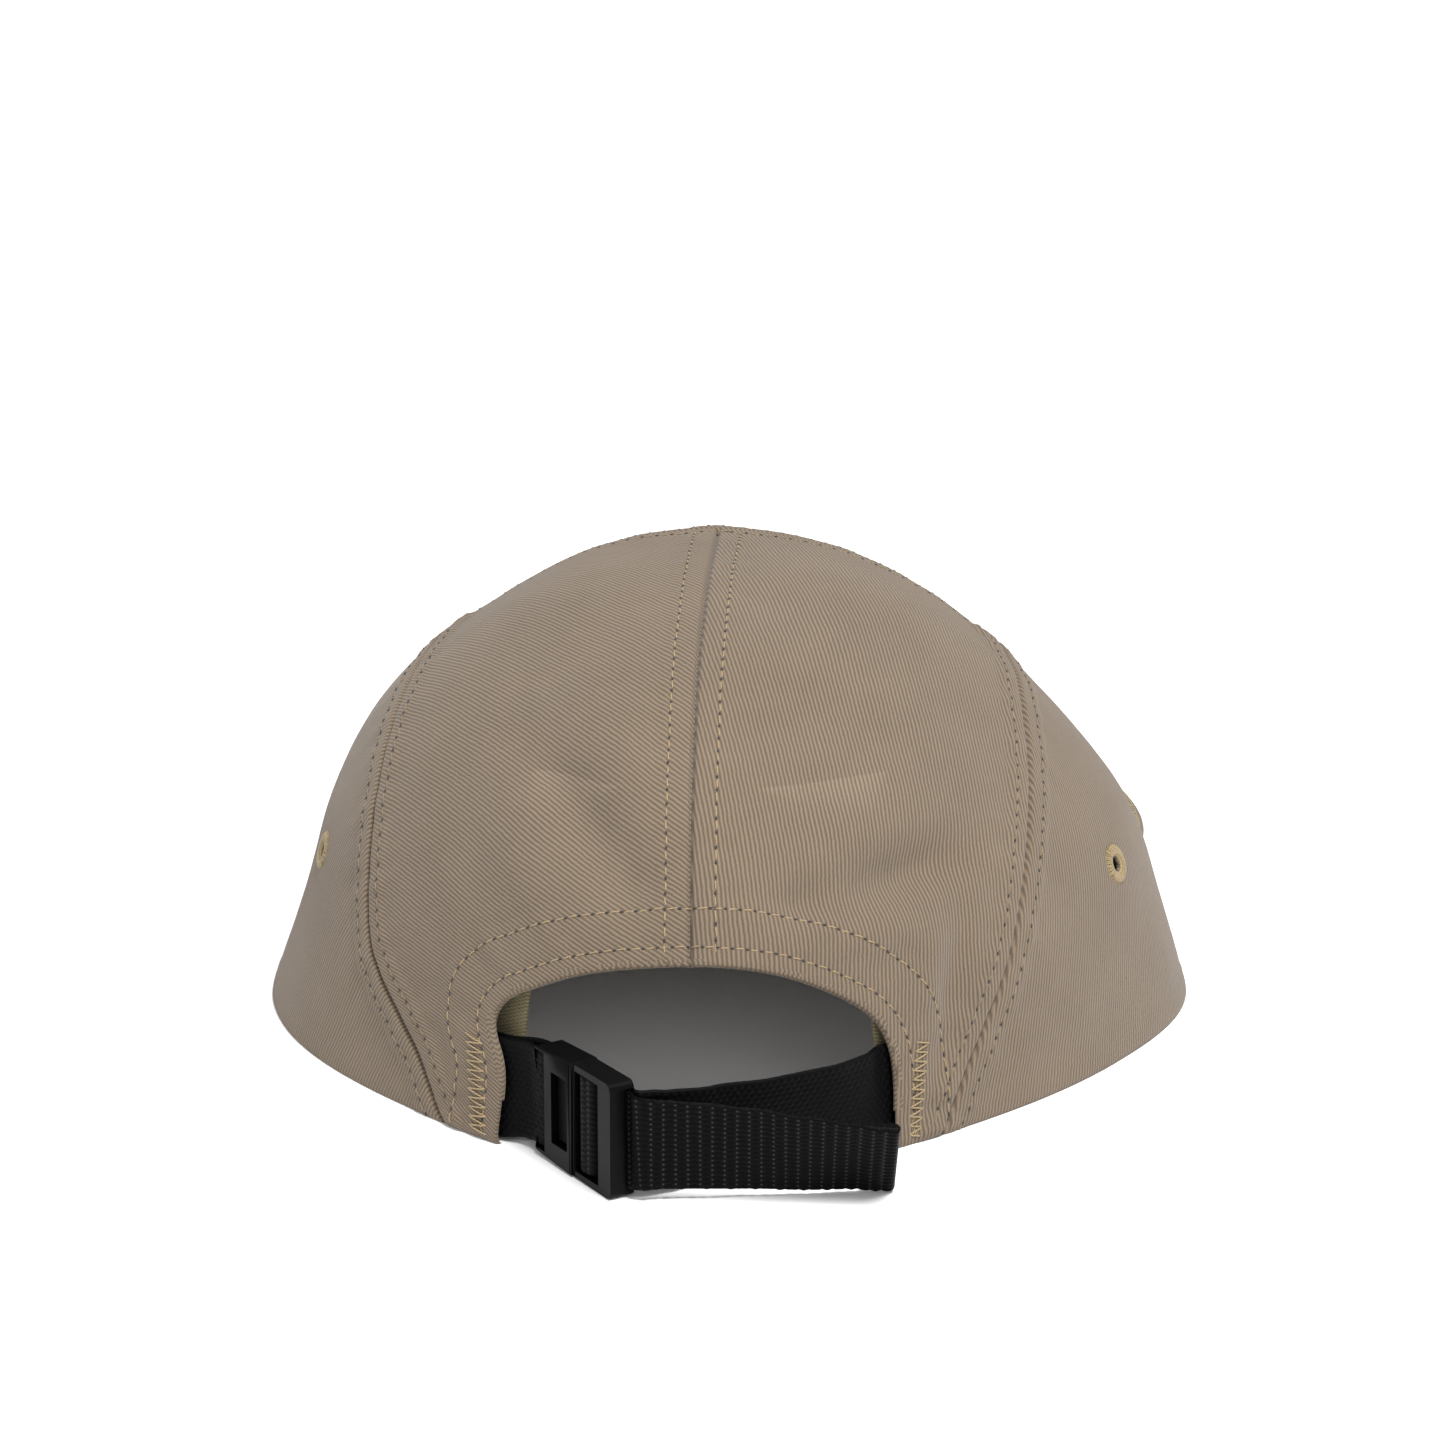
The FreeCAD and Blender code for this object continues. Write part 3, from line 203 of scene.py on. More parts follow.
ARCH = [(-39.3, -3.0), (-39.35, 9.0), (-39.9, 18.0), (-41.4, 22.2), (-40.6, 26.0), (-37.6, 29.4), (-33.1, 32.1), (-26.8, 35.2), (-18.6, 37.9),
        (-10.9, 39.3), (-2.3, 40.0), (3.9, 39.9), (11.7, 38.7), (19.3, 36.2), (27.1, 32.1), (32.6, 28.0), (35.9, 23.9),
        (37.6, 19.8), (38.8, 9.6), (39.5, -3.0)]
_ap = np.array([(x, 0, z) for x, z in ARCH])
arch_f = through(_ap, False)
ARCH_D = arch_f(np.linspace(0, 1, 900))[:, [0, 2]]


def arch_distance(x, z):
    """Signed distance in the rear view from the arch's edge, negative inside the opening."""
    p = np.stack([x, z], -1).reshape(-1, 2)
    out = np.empty(len(p))
    for i in range(0, len(p), 3000):
        q = p[i:i + 3000]
        d = np.linalg.norm(q[:, None] - ARCH_D[None], axis=2)
        k = np.clip(d.argmin(1), 1, len(ARCH_D) - 2)
        t = ARCH_D[k + 1] - ARCH_D[k - 1]
        t /= np.linalg.norm(t, axis=1, keepdims=True)
        r = q - ARCH_D[k]
        out[i:i + 3000] = t[:, 0] * r[:, 1] - t[:, 1] * r[:, 0]
        far = d.min(1) > 1.2
        s = np.sign(out[i:i + 3000])
        out[i:i + 3000] = np.where(far, s * d.min(1), out[i:i + 3000])
    return out.reshape(np.shape(x))


def grid(bottom, top, left, right, us, vs):
    """Coons patch in direction space, cast on to the crown."""
    d = lambda p: unit(p - CENTRE)
    c00, c10, c01, c11 = d(left(0.0)), d(right(0.0)), d(left(1.0)), d(right(1.0))
    u, v = us[:, None, None], vs[None, :, None]
    w = d(bottom(us))[:, None] * (1 - v) + d(top(us))[:, None] * v + d(left(vs))[None] * (1 - u) + d(right(vs))[None] * u
    w = w - c00 * ((1 - u) * (1 - v)) - c10 * (u * (1 - v)) - c01 * ((1 - u) * v) - c11 * (u * v)
    g = cast(unit(w))
    if vs[0] <= 1e-9:
        g[:, 0] = bottom(us)
    return g


# ------------------------------------------------------------------ what sewing does to the cloth
SEAMS = {}


def polyline(name, f, n, reach, raised, t0=0.0, t1=1.0):
    t = np.linspace(t0, t1, n)
    p = f(t)
    a = np.concatenate([[0], np.cumsum(np.linalg.norm(np.diff(p, axis=0), axis=1))])
    g = unit(np.gradient(p, axis=0))
    SEAMS[name] = (p, g, a, reach, raised)


PUCKER = {"centre": 0.13, "rear_l": 0.18, "rear_r": 0.18, "front_l": 0.14, "front_r": 0.14, "cross": 0.07}
polyline("centre", centre, 460, 4.9, 0.34, 0.2)
polyline("rear_l", rear_seam_l, 420, 3.7, 0.5)
polyline("rear_r", rear_seam_r, 420, 3.7, 0.5)
polyline("front_l", front_seam_l, 300, 3.7, 0.3)
polyline("front_r", front_seam_r, 300, 3.7, 0.3)
polyline("cross", cross_all, 360, 3.7, 0.2)


def seam_near(name, p):
    """Distance of points from a seam, and how far along it they lie."""
    s, g, a, _, _ = SEAMS[name]
    flat = p.reshape(-1, 3)
    dist, along = np.full(len(flat), 99.0), np.zeros(len(flat))
    lo, hi = s.min(0) - 22, s.max(0) + 22
    near = np.where(np.all((flat > lo) & (flat < hi), axis=1))[0]
    for i in range(0, len(near), 4000):
        k = near[i:i + 4000]
        d = ((flat[k][:, None] - s[None]) ** 2).sum(2)
        j = d.argmin(1)
        r = flat[k] - s[j]
        t = np.clip((r * g[j]).sum(1), -0.6, 0.6)
        dist[k] = np.linalg.norm(r - g[j] * t[:, None], axis=1)
        along[k] = a[j] + t
    return dist.reshape(p.shape[:-1]), along.reshape(p.shape[:-1])


def smooth(x, a, b):
    t = np.clip((x - a) / (b - a), 0, 1)
    return t * t * (3 - 2 * t)


class Waves:
    """Smooth repeatable unevenness from a few dozen waves of a chosen length."""

    def __init__(self, seed, low, high, n=22):
        r = np.random.RandomState(seed)
        d = unit(r.normal(size=(n, 3)))
        self.k = d * (2 * math.pi / r.uniform(low, high, n))[:, None]
        self.p = r.uniform(0, 2 * math.pi, n)

    def __call__(self, p):
        return np.sin(p.reshape(-1, 3) @ self.k.T + self.p).mean(1).reshape(p.shape[:-1]) * 2.2


big, middle, small = Waves(3, 42, 95), Waves(11, 14, 34), Waves(19, 5, 10)
wobble = Waves(23, 20, 60)

# soft dents and swells: centre, size along and across, direction, height
DENTS = []


def dent(x, z, long, wide, turn, height, top=None):
    c = rear_at(x, z) if top is None else top_at(x, top)
    n = normal(c)
    a = unit(np.cross([0, 0, 1.0], n))
    b = np.cross(n, a)
    t = math.radians(turn)
    DENTS.append((c, a * math.cos(t) + b * math.sin(t), -a * math.sin(t) + b * math.cos(t), long, wide, height))


dent(-25, 63, 20, 6.5, -34, -3.4)
dent(-17, 74, 17, 7, -34, 1.2)
dent(-37, 52, 14, 6, -34, 1.0)
dent(-11, 54, 7, 4, 20, -1.2)
dent(40, 50, 15, 5.4, 3, -4.0)
dent(20, 49, 7, 4.5, 20, -2.0)
dent(33, 41.0, 15, 4.6, -8, 1.6)
dent(36, 61, 17, 7.5, 0, 0.9)
dent(50, 30, 14, 4.2, 65, -1.4)
dent(44.5, 28, 13, 4.2, 65, 0.9)
dent(47, 14, 9, 3, 75, -0.7)
dent(-48, 36, 12, 4, -50, 0.8)
dent(-44, 30, 12, 4, -45, -1.3)
dent(12, 78, 22, 9, 5, -0.7)



def relief(p):
    """Height of the sewn cloth over its smooth shape."""
    h = 0.42 * big(p) + 0.22 * middle(p) + 0.035 * small(p)
    for c, a, b, lo, wi, he in DENTS:
        r = p - c
        h += he * np.exp(-((r @ a) / lo) ** 2 - ((r @ b) / wi) ** 2) * (np.linalg.norm(r, axis=-1) < 60)
    calm = np.ones(p.shape[:-1])
    extra = np.zeros(p.shape[:-1])
    for i, name in enumerate(SEAMS):
        reach, raised = SEAMS[name][3:]
        d, s = seam_near(name, p)
        w = wobble(p)
        calm = np.minimum(calm, 0.25 + 0.75 * smooth(d, 1.0, 14))
        pitch = 9.6 + 0.8 * i
        pucker = np.sin(2 * math.pi * s / pitch + 2.6 * w + i) * 0.6 + np.sin(2 * math.pi * s / (pitch * 0.63) + 4.1 * w) * 0.4
        extra += raised * (1 - smooth(d, reach + 0.6, reach + 2.6)) * (1 + 0.12 * pucker)
        extra -= 1.2 * np.exp(-(d / 0.5) ** 2)
        extra -= 0.2 * np.exp(-((d - reach) / 0.55) ** 2)
        extra += PUCKER[name] * pucker * smooth(d, 0.2, reach) * np.exp(-(np.maximum(d - reach, 0) / 5.5) ** 2)
    rear = (p[..., 1] < -40) & (p[..., 2] < 62)
    if rear.any():
        d = np.full(p.shape[:-1], 99.0)
        d[rear] = arch_distance(p[..., 0][rear], p[..., 2][rear])
        w = wobble(p)
        ang = np.arctan2(p[..., 2] - 8, p[..., 0]) * 34
        pucker = np.sin(2 * math.pi * ang / 8.3 + 2 * w) * 0.6 + np.sin(2 * math.pi * ang / 4.7 + 3 * w) * 0.4
        hem = (d < 22).astype(float)
        extra += hem * (0.42 * (1 - smooth(d, 9.6, 11.6)) - 0.2 * np.exp(-((d - 9.5) / 0.55) ** 2) - 0.2 * np.exp(-((d - 3.0) / 0.55) ** 2)
                        + 0.2 * pucker * np.exp(-((d - 8) / 5.5) ** 2))
        calm = np.where(d < 14, np.minimum(calm, 0.3 + 0.7 * smooth(d, 2, 14)), calm)
    z = p[..., 2]
    foot = smooth(z, 0.0, 9.0)
    edge = 0.3 * (1 - smooth(z, 3.4, 5.2)) - 0.2 * np.exp(-((z - 3.2) / 0.5) ** 2) - 0.5 * (1 - np.sqrt(np.clip(1 - (1 - np.clip(z / 1.0, 0, 1)) ** 2, 0, 1)))
    front = (p[..., 1] > 40) & (z < 9)
    edge = np.where(front, 0.0, edge)
    return h * calm * (0.25 + 0.75 * foot) + extra * smooth(z, -0.5, 2.0) + edge


def skin(p, lift=0.0):
    """Point on the outside of the sewn crown, lift above it."""
    return p + level_normal(p) * (relief(p) + lift)[..., None]


# ------------------------------------------------------------------ mesh makers
def make(name, verts, quads=None, tris=None, uv=None, mat=None, smooth_faces=True):
    """A mesh object from millimetre points; uv is one pair of millimetres per point."""
    me = bpy.data.meshes.new(name)
    verts = np.array(verts, float) / 1000.0
    verts[:, 2] = np.where(verts[:, 2] < 0, verts[:, 2] * 0.05, verts[:, 2])  # rests flat on the ground
    loops, starts, totals = [], [], []
    n = 0
    for f, k in ((quads, 4), (tris, 3)):
        if f is not None and len(f):
            f = np.asarray(f, int)
            loops.append(f.ravel())
            starts.append(n + np.arange(len(f)) * k)
            totals.append(np.full(len(f), k))
            n += len(f) * k
    loops, starts, totals = np.concatenate(loops), np.concatenate(starts), np.concatenate(totals)
    me.vertices.add(len(verts))
    me.vertices.foreach_set("co", verts.astype(np.float32).ravel())
    me.loops.add(len(loops))
    me.loops.foreach_set("vertex_index", loops.astype(np.int32))
    me.polygons.add(len(starts))
    me.polygons.foreach_set("loop_start", starts.astype(np.int32))
    me.polygons.foreach_set("loop_total", totals.astype(np.int32))
    me.polygons.foreach_set("use_smooth", np.full(len(starts), smooth_faces))
    if uv is not None:
        layer = me.uv_layers.new(name="UVMap")
        layer.data.foreach_set("uv", np.asarray(uv, float)[loops].astype(np.float32).ravel())
    me.update()
    me.validate()
    o = bpy.data.objects.new(name, me)
    bpy.context.scene.collection.objects.link(o)
    if mat:
        me.materials.append(mat)
    return o


def grid_quads(nu, nv, flip=False, base=0):
    i, j = np.meshgrid(np.arange(nu - 1), np.arange(nv - 1), indexing="ij")
    a = (i * nv + j).ravel()
    q = np.stack([a, a + nv, a + nv + 1, a + 1], 1) + base
    return q[:, ::-1] if flip else q


def boundary(faces):
    """Directed boundary edges of a face list."""
    e = []
    for f in faces:
        k = f.shape[1]
        for c in range(k):
            e.append(np.stack([f[:, c], f[:, (c + 1) % k]], 1))
    e = np.concatenate(e)
    big_n = int(e.max()) + 1
    key = e[:, 0].astype(np.int64) * big_n + e[:, 1]
    back = e[:, 1].astype(np.int64) * big_n + e[:, 0]
    return e[~np.isin(key, back)]


def shell(name, outer, normals, thick, quads, tris, uv, mat, round_edge=0.45):
    """Closed thin cloth: an outer layer, an inner one, and a rounded edge all round."""
    outer = np.asarray(outer, float)
    used = np.zeros(len(outer), bool)
    faces = [f for f in (quads, tris) if f is not None and len(f)]
    for f in faces:
        used[f.ravel()] = True
    remap = np.cumsum(used) - 1
    outer, normals, uv = outer[used], normals[used], uv[used]
    faces = [remap[f] for f in faces]
    n = len(outer)
    inner = outer - normals * thick
    # direction pointing off the cloth at its edge
    e = boundary(faces)
    nb = np.zeros((n, 3))
    cnt = np.zeros(n)
    for f in faces:
        c = outer[f].mean(1)
        for k in range(f.shape[1]):
            np.add.at(nb, f[:, k], c)
            np.add.at(cnt, f[:, k], 1)
    off = outer - nb / np.maximum(cnt, 1)[:, None]
    off -= normals * (off * normals).sum(1, keepdims=True)
    off = unit(off)
    ring = np.unique(e)
    pos = np.full(n, -1)
    pos[ring] = np.arange(len(ring))
    m = len(ring)
    rows = []
    for depth, out in ((0.12, 0.28), (0.5, round_edge), (0.88, 0.28)):
        rows.append(outer[ring] - normals[ring] * thick * depth + off[ring] * out * thick * (round_edge / 0.45))
    verts = np.concatenate([outer, inner] + rows)
    base = 2 * n
    a, b = e[:, 0], e[:, 1]
    chain = [(a, b)] + [(base + k * m + pos[a], base + k * m + pos[b]) for k in range(3)] + [(a + n, b + n)]
    walls = [np.stack([c0[1], c0[0], c1[0], c1[1]], 1) for c0, c1 in zip(chain[:-1], chain[1:])]
    q = [f for f in faces if f.shape[1] == 4]
    t = [f for f in faces if f.shape[1] == 3]
    allq = np.concatenate(q + [f[:, ::-1] + n for f in q] + walls)
    allt = np.concatenate(t + [f[:, ::-1] + n for f in t]) if t else None
    uvs = np.concatenate([uv, uv, uv[ring], uv[ring], uv[ring]])
    return make(name, verts, allq, allt, uvs, mat)


def arc_uv(g):
    """Millimetre coordinates over a grid: along its rows from the middle, and up its columns."""
    du = np.linalg.norm(np.diff(g, axis=0), axis=2)
    cu = np.concatenate([np.zeros((1, g.shape[1])), np.cumsum(du, 0)])
    cu -= cu[g.shape[0] // 2][None]
    dv = np.linalg.norm(np.diff(g, axis=1), axis=2)
    cv = np.concatenate([np.zeros((g.shape[0], 1)), np.cumsum(dv, 1)], 1)
    cv = cv * 0.5 + cv[g.shape[0] // 2][None] * 0.5
    return np.stack([cu, cv], -1)


def cloth_sheet(name, g, thick, mat, normals=None, uv=None, turn_over=False):
    nu, nv = g.shape[:2]
    n = level_normal(g) if normals is None else normals
    uv = arc_uv(g) if uv is None else uv
    q = grid_quads(nu, nv)
    a, b, c = g[0, 0], g[1, 0], g[0, 1]
    k, l = nu // 2, nv // 2
    face = np.cross(g[k, l] - g[k - 1, l], g[k, l] - g[k, l - 1])
    if (face * n[k, l]).sum() < 0:
        q = q[:, ::-1]
    return shell(name, g.reshape(-1, 3), n.reshape(-1, 3), thick, q, None, uv.reshape(-1, 2), mat)


def capsules(name, c, t, n, length, r, mat, dip=0.32, sides=6, squash=0.75, slant=0.0):
    """Many short threads lying on cloth: centres, directions and normals; ends dip into the cloth."""
    c, t, n = np.asarray(c, float), unit(np.asarray(t, float)), unit(np.asarray(n, float))
    s = np.cross(n, t)
    if slant:
        t = unit(t + s * slant)
        s = np.cross(n, t)
    xs = np.array([-1, -0.86, -0.5, 0, 0.5, 0.86, 1.0])
    ws = np.array([0.35, 0.85, 1, 1, 1, 0.85, 0.35])
    length = np.broadcast_to(length, (len(c),))
    rings = []
    for x, w in zip(xs, ws):
        mid = c + t * (x * length / 2)[:, None] + n * (r * 0.8 - dip * abs(x) ** 3 * 1.6)
        for k in range(sides):
            a = 2 * math.pi * k / sides
            rings.append(mid + n * (math.sin(a) * r * w * squash) + s * (math.cos(a) * r * w))
    v = np.stack(rings, 1)
    m = len(xs) * sides
    f = []
    for i in range(len(xs) - 1):
        for k in range(sides):
            f.append([i * sides + k, i * sides + (k + 1) % sides, (i + 1) * sides + (k + 1) % sides, (i + 1) * sides + k])
    f = np.array(f)
    quads = (f[None] + (np.arange(len(c)) * m)[:, None, None]).reshape(-1, 4)
    caps = []
    for i, rev in ((0, True), (len(xs) - 1, False)):
        for k in range(1, sides - 1):
            tri = [i * sides, i * sides + k, i * sides + k + 1]
            caps.append(tri[::-1] if rev else tri)
    tris = (np.array(caps)[None] + (np.arange(len(c)) * m)[:, None, None]).reshape(-1, 3)
    uv = np.tile(np.stack([np.repeat(xs * 1.3, sides), np.tile(np.arange(sides) / sides, len(xs))], 1), (len(c), 1))
    return make(name, v.reshape(-1, 3), quads[:, ::-1], tris[:, ::-1], uv, mat)


def walk(p, pitch, start=0.0, end=0.0):
    """Even steps along a dense polyline: centres and directions."""
    a = np.concatenate([[0], np.cumsum(np.linalg.norm(np.diff(p, axis=0), axis=1))])
    n = max(2, int((a[-1] - start - end) / pitch))
    s = start + (np.arange(n) + 0.5) * (a[-1] - start - end) / n
    c = np.stack([np.interp(s, a, p[:, k]) for k in range(3)], 1)
    e = np.stack([np.interp(s + 0.4, a, p[:, k]) for k in range(3)], 1) - np.stack([np.interp(s - 0.4, a, p[:, k]) for k in range(3)], 1)
    return c, unit(e)


def beside(name, f, off, t0, t1, n=260):
    """A line on the crown at a set distance to one side of a seam curve."""
    t = np.linspace(t0, t1, n)
    p = f(t)
    g = unit(np.gradient(p, axis=0))
    s = unit(np.cross(normal(p), g))
    return onto(p + s * off)


def sew(name, line, mat, pitch=3.1, lift=0.0, keep=None):
    c, t = walk(line, pitch)
    if keep is not None:
        k = keep(c)
        c, t = c[k], t[k]
    c = onto(c) if lift is not None else c
    n = level_normal(c)
    jit = RNG.normal(size=len(c)) * 0.05
    c = c + np.cross(n, t) * jit[:, None]
    pos = skin(c)
    t2 = unit(skin(onto(c + t * 0.8)) - skin(onto(c - t * 0.8)))
    # dark capsules sunk into the gaps between stitches: painted shade for the needle holes
    gap = (c[1:] + c[:-1]) / 2
    close = np.linalg.norm(c[1:] - c[:-1], axis=1) < pitch * 1.6
    gap, gt = onto(gap[close]), unit((c[1:] - c[:-1])[close])
    ho = capsules(name + "_hole_shade", skin(gap, -0.06 + 0 * gap[:, 0]), gt, level_normal(gap), 0.8, 0.24, HOLE_SHADE, dip=0.1)
    thread_parts.append(ho)
    return capsules(name, pos, t2, n, pitch * 0.84 * RNG.uniform(0.94, 1.05, len(c)), 0.165, mat, slant=0.09)


# ------------------------------------------------------------------ materials
def mat_new(name):
    m = bpy.data.materials.new(name)
    m.use_nodes = True
    nt = m.node_tree
    nt.nodes.clear()
    out = nt.nodes.new("ShaderNodeOutputMaterial")
    b = nt.nodes.new("ShaderNodeBsdfPrincipled")
    nt.links.new(b.outputs[0], out.inputs[0])
    return m, nt, b


def node(nt, kind, **kw):
    n = nt.nodes.new(kind)
    for k, v in kw.items():
        setattr(n, k, v)
    return n


def math_node(nt, op, a, b=None):
    n = node(nt, "ShaderNodeMath", operation=op)
    for i, v in enumerate((a, b)):
        if v is None:
            continue
        if isinstance(v, (int, float)):
            n.inputs[i].default_value = v
        else:
            nt.links.new(v, n.inputs[i])
    return n.outputs[0]


def lin(c):
    return tuple((x / 255 / 12.92) if x / 255 <= 0.04045 else ((x / 255 + 0.055) / 1.055) ** 2.4 for x in c) + (1,)


def ramp(nt, fac, stops):
    r = node(nt, "ShaderNodeValToRGB")
    r.color_ramp.elements[0].position, r.color_ramp.elements[0].color = stops[0][0], stops[0][1]
    r.color_ramp.elements[1].position, r.color_ramp.elements[1].color = stops[-1][0], stops[-1][1]
    for p, c in stops[1:-1]:
        e = r.color_ramp.elements.new(p)
        e.color = c
    nt.links.new(fac, r.inputs[0])
    return r.outputs[0]


def coords(nt):
    uv = node(nt, "ShaderNodeUVMap")
    sep = node(nt, "ShaderNodeSeparateXYZ")
    nt.links.new(uv.outputs[0], sep.inputs[0])
    return uv.outputs[0], sep.outputs[0], sep.outputs[1]


def noise(nt, vec, scale, detail=3.0, rough=0.55):
    n = node(nt, "ShaderNodeTexNoise")
    n.inputs["Scale"].default_value = scale
    n.inputs["Detail"].default_value = detail
    n.inputs["Roughness"].default_value = rough
    nt.links.new(vec, n.inputs["Vector"])
    return n.outputs["Fac"]


def twill(name, angle, low, mid, high, pitch=0.88, depth=0.13, cross=0.55):
    """Twill cloth: diagonal wales of slanted floats, in millimetre coordinates. angle is the wales' direction."""
    m, nt, b = mat_new(name)
    uv, u, v = coords(nt)
    wob = math_node(nt, "MULTIPLY", math_node(nt, "SUBTRACT", noise(nt, uv, 0.03, 2), 0.5), 2.2)
    a = math.radians(angle)
    across = math_node(nt, "ADD", math_node(nt, "MULTIPLY", u, -math.sin(a)), math_node(nt, "MULTIPLY", v, math.cos(a)))
    across = math_node(nt, "ADD", across, wob)
    along = math_node(nt, "ADD", math_node(nt, "MULTIPLY", u, math.cos(a)), math_node(nt, "MULTIPLY", v, math.sin(a)))
    ph = math_node(nt, "MULTIPLY", across, 2 * math.pi / pitch)
    ph = math_node(nt, "ADD", ph, math_node(nt, "MULTIPLY", noise(nt, uv, 0.5, 2), 2.6))
    wale = math_node(nt, "ADD", math_node(nt, "MULTIPLY", math_node(nt, "SINE", ph), 0.5), 0.5)
    ph2 = math_node(nt, "ADD", math_node(nt, "MULTIPLY", along, 2 * math.pi / cross), math_node(nt, "MULTIPLY", ph, 0.5))
    yarn = math_node(nt, "ADD", math_node(nt, "MULTIPLY", math_node(nt, "SINE", ph2), 0.5), 0.5)
    fine = noise(nt, uv, 3.2, 3)
    height = math_node(nt, "ADD", math_node(nt, "MULTIPLY", wale, 0.72), math_node(nt, "MULTIPLY", math_node(nt, "MULTIPLY", yarn, wale), 0.2))
    height = math_node(nt, "ADD", height, math_node(nt, "MULTIPLY", fine, 0.34))
    tone = math_node(nt, "ADD", math_node(nt, "MULTIPLY", height, 0.78), math_node(nt, "MULTIPLY", noise(nt, uv, 0.045, 4, 0.6), 0.28))
    col = ramp(nt, tone, [(0.1, lin(low)), (0.6, lin(mid)), (1.0, lin(high))])
    nt.links.new(col, b.inputs["Base Color"])
    b.inputs["Roughness"].default_value = 0.93
    b.inputs["Specular IOR Level"].default_value = 0.18
    b.inputs["Sheen Weight"].default_value = 0.12
    b.inputs["Sheen Roughness"].default_value = 0.6
    bump = node(nt, "ShaderNodeBump")
    bump.inputs["Strength"].default_value = 0.75
    bump.inputs["Distance"].default_value = depth / 1000.0
    nt.links.new(height, bump.inputs["Height"])
    nt.links.new(bump.outputs[0], b.inputs["Normal"])
    return m


def plain_weave(name, low, high, pu=0.9, pv=0.9, depth=0.15, rough=0.9, sheen=0.1, spec=0.16):
    m, nt, b = mat_new(name)
    uv, u, v = coords(nt)
    su = math_node(nt, "SINE", math_node(nt, "MULTIPLY", u, 2 * math.pi / pu))
    sv = math_node(nt, "SINE", math_node(nt, "MULTIPLY", v, 2 * math.pi / pv))
    h = math_node(nt, "ADD", math_node(nt, "MULTIPLY", math_node(nt, "MULTIPLY", su, sv), 0.5), 0.5)
    fine = noise(nt, uv, 2.6, 4)
    h2 = math_node(nt, "ADD", math_node(nt, "MULTIPLY", h, 0.7), math_node(nt, "MULTIPLY", fine, 0.4))
    nt.links.new(ramp(nt, h2, [(0.1, lin(low)), (0.95, lin(high))]), b.inputs["Base Color"])
    b.inputs["Roughness"].default_value = rough
    b.inputs["Specular IOR Level"].default_value = spec
    b.inputs["Sheen Weight"].default_value = sheen
    bump = node(nt, "ShaderNodeBump")
    bump.inputs["Strength"].default_value = 0.7
    bump.inputs["Distance"].default_value = depth / 1000.0
    nt.links.new(h2, bump.inputs["Height"])
    nt.links.new(bump.outputs[0], b.inputs["Normal"])
    return m


def thread_mat(name, low, high):
    m, nt, b = mat_new(name)
    uv, u, v = coords(nt)
    tw = math_node(nt, "SINE", math_node(nt, "ADD", math_node(nt, "MULTIPLY", u, 14.0), math_node(nt, "MULTIPLY", v, 2 * math.pi * 2)))
    h = math_node(nt, "ADD", math_node(nt, "MULTIPLY", tw, 0.35), noise(nt, uv, 6.0, 2))
    nt.links.new(ramp(nt, h, [(0.15, lin(low)), (0.95, lin(high))]), b.inputs["Base Color"])
    b.inputs["Roughness"].default_value = 0.6
    b.inputs["Sheen Weight"].default_value = 0.15
    bump = node(nt, "ShaderNodeBump")
    bump.inputs["Strength"].default_value = 0.6
    bump.inputs["Distance"].default_value = 0.00008
    nt.links.new(h, bump.inputs["Height"])
    nt.links.new(bump.outputs[0], b.inputs["Normal"])
    return m


def plastic(name, base, rough, grain, amount):
    m, nt, b = mat_new(name)
    tc = node(nt, "ShaderNodeTexCoord")
    n1 = noise(nt, tc.outputs["Object"], grain, 4, 0.7)
    n2 = noise(nt, tc.outputs["Object"], 160, 3)
    nt.links.new(ramp(nt, n2, [(0.2, lin([c * 0.75 for c in base])), (0.9, lin([c * 1.25 for c in base]))]), b.inputs["Base Color"])
    r = math_node(nt, "ADD", math_node(nt, "MULTIPLY", n1, 0.16), rough - 0.08)
    nt.links.new(r, b.inputs["Roughness"])
    b.inputs["Specular IOR Level"].default_value = 0.07
    bump = node(nt, "ShaderNodeBump")
    bump.inputs["Strength"].default_value = amount
    bump.inputs["Distance"].default_value = 0.00006
    nt.links.new(n1, bump.inputs["Height"])
    nt.links.new(bump.outputs[0], b.inputs["Normal"])
    return m


LOW, MID, HI = (71, 60, 49), (103, 90, 75), (124, 109, 92)
TW_TL = twill("twill_top_left", 38, LOW, MID, HI)
TW_TR = twill("twill_top_right", 103, LOW, MID, HI)
TW_SR = twill("twill_side_right", 72, LOW, MID, HI)
TW_SL = twill("twill_side_left", 112, LOW, MID, HI)
TW_F = twill("twill_front", 58, LOW, MID, HI)
TW_V = twill("twill_visor", 62, LOW, MID, HI)
TW_HEM = twill("twill_hem", 60, LOW, MID, HI)
BIND = plain_weave("seam_tape_weave", (96, 86, 66), (146, 134, 108), 0.8, 0.8)
BAND = plain_weave("sweatband_weave", (98, 90, 66), (150, 140, 110), 1.9, 0.7, 0.25)
BUCK = plain_weave("buckram_weave", (206, 202, 192), (242, 240, 232), 1.3, 1.3, 0.35)
BOARD = plain_weave("board_grain", (58, 56, 52), (82, 80, 76), 2.3, 2.9, 0.05)
THREAD = thread_mat("thread_tan", (118, 99, 69), (167, 144, 106))
THREAD2 = thread_mat("thread_khaki", (98, 84, 62), (138, 120, 92))
# painted shade: a dark material standing for the shade inside the needle holes between stitches
HOLE_SHADE = thread_mat("needle_hole_painted_shade", (34, 28, 22), (52, 44, 36))
EYE = thread_mat("eyelet_thread", (112, 96, 64), (158, 138, 98))
WEB = plain_weave("webbing_yarn", (2, 2, 3), (10, 10, 12), 0.36, 0.36, 0.1, 0.5, 0.0, 0.06)
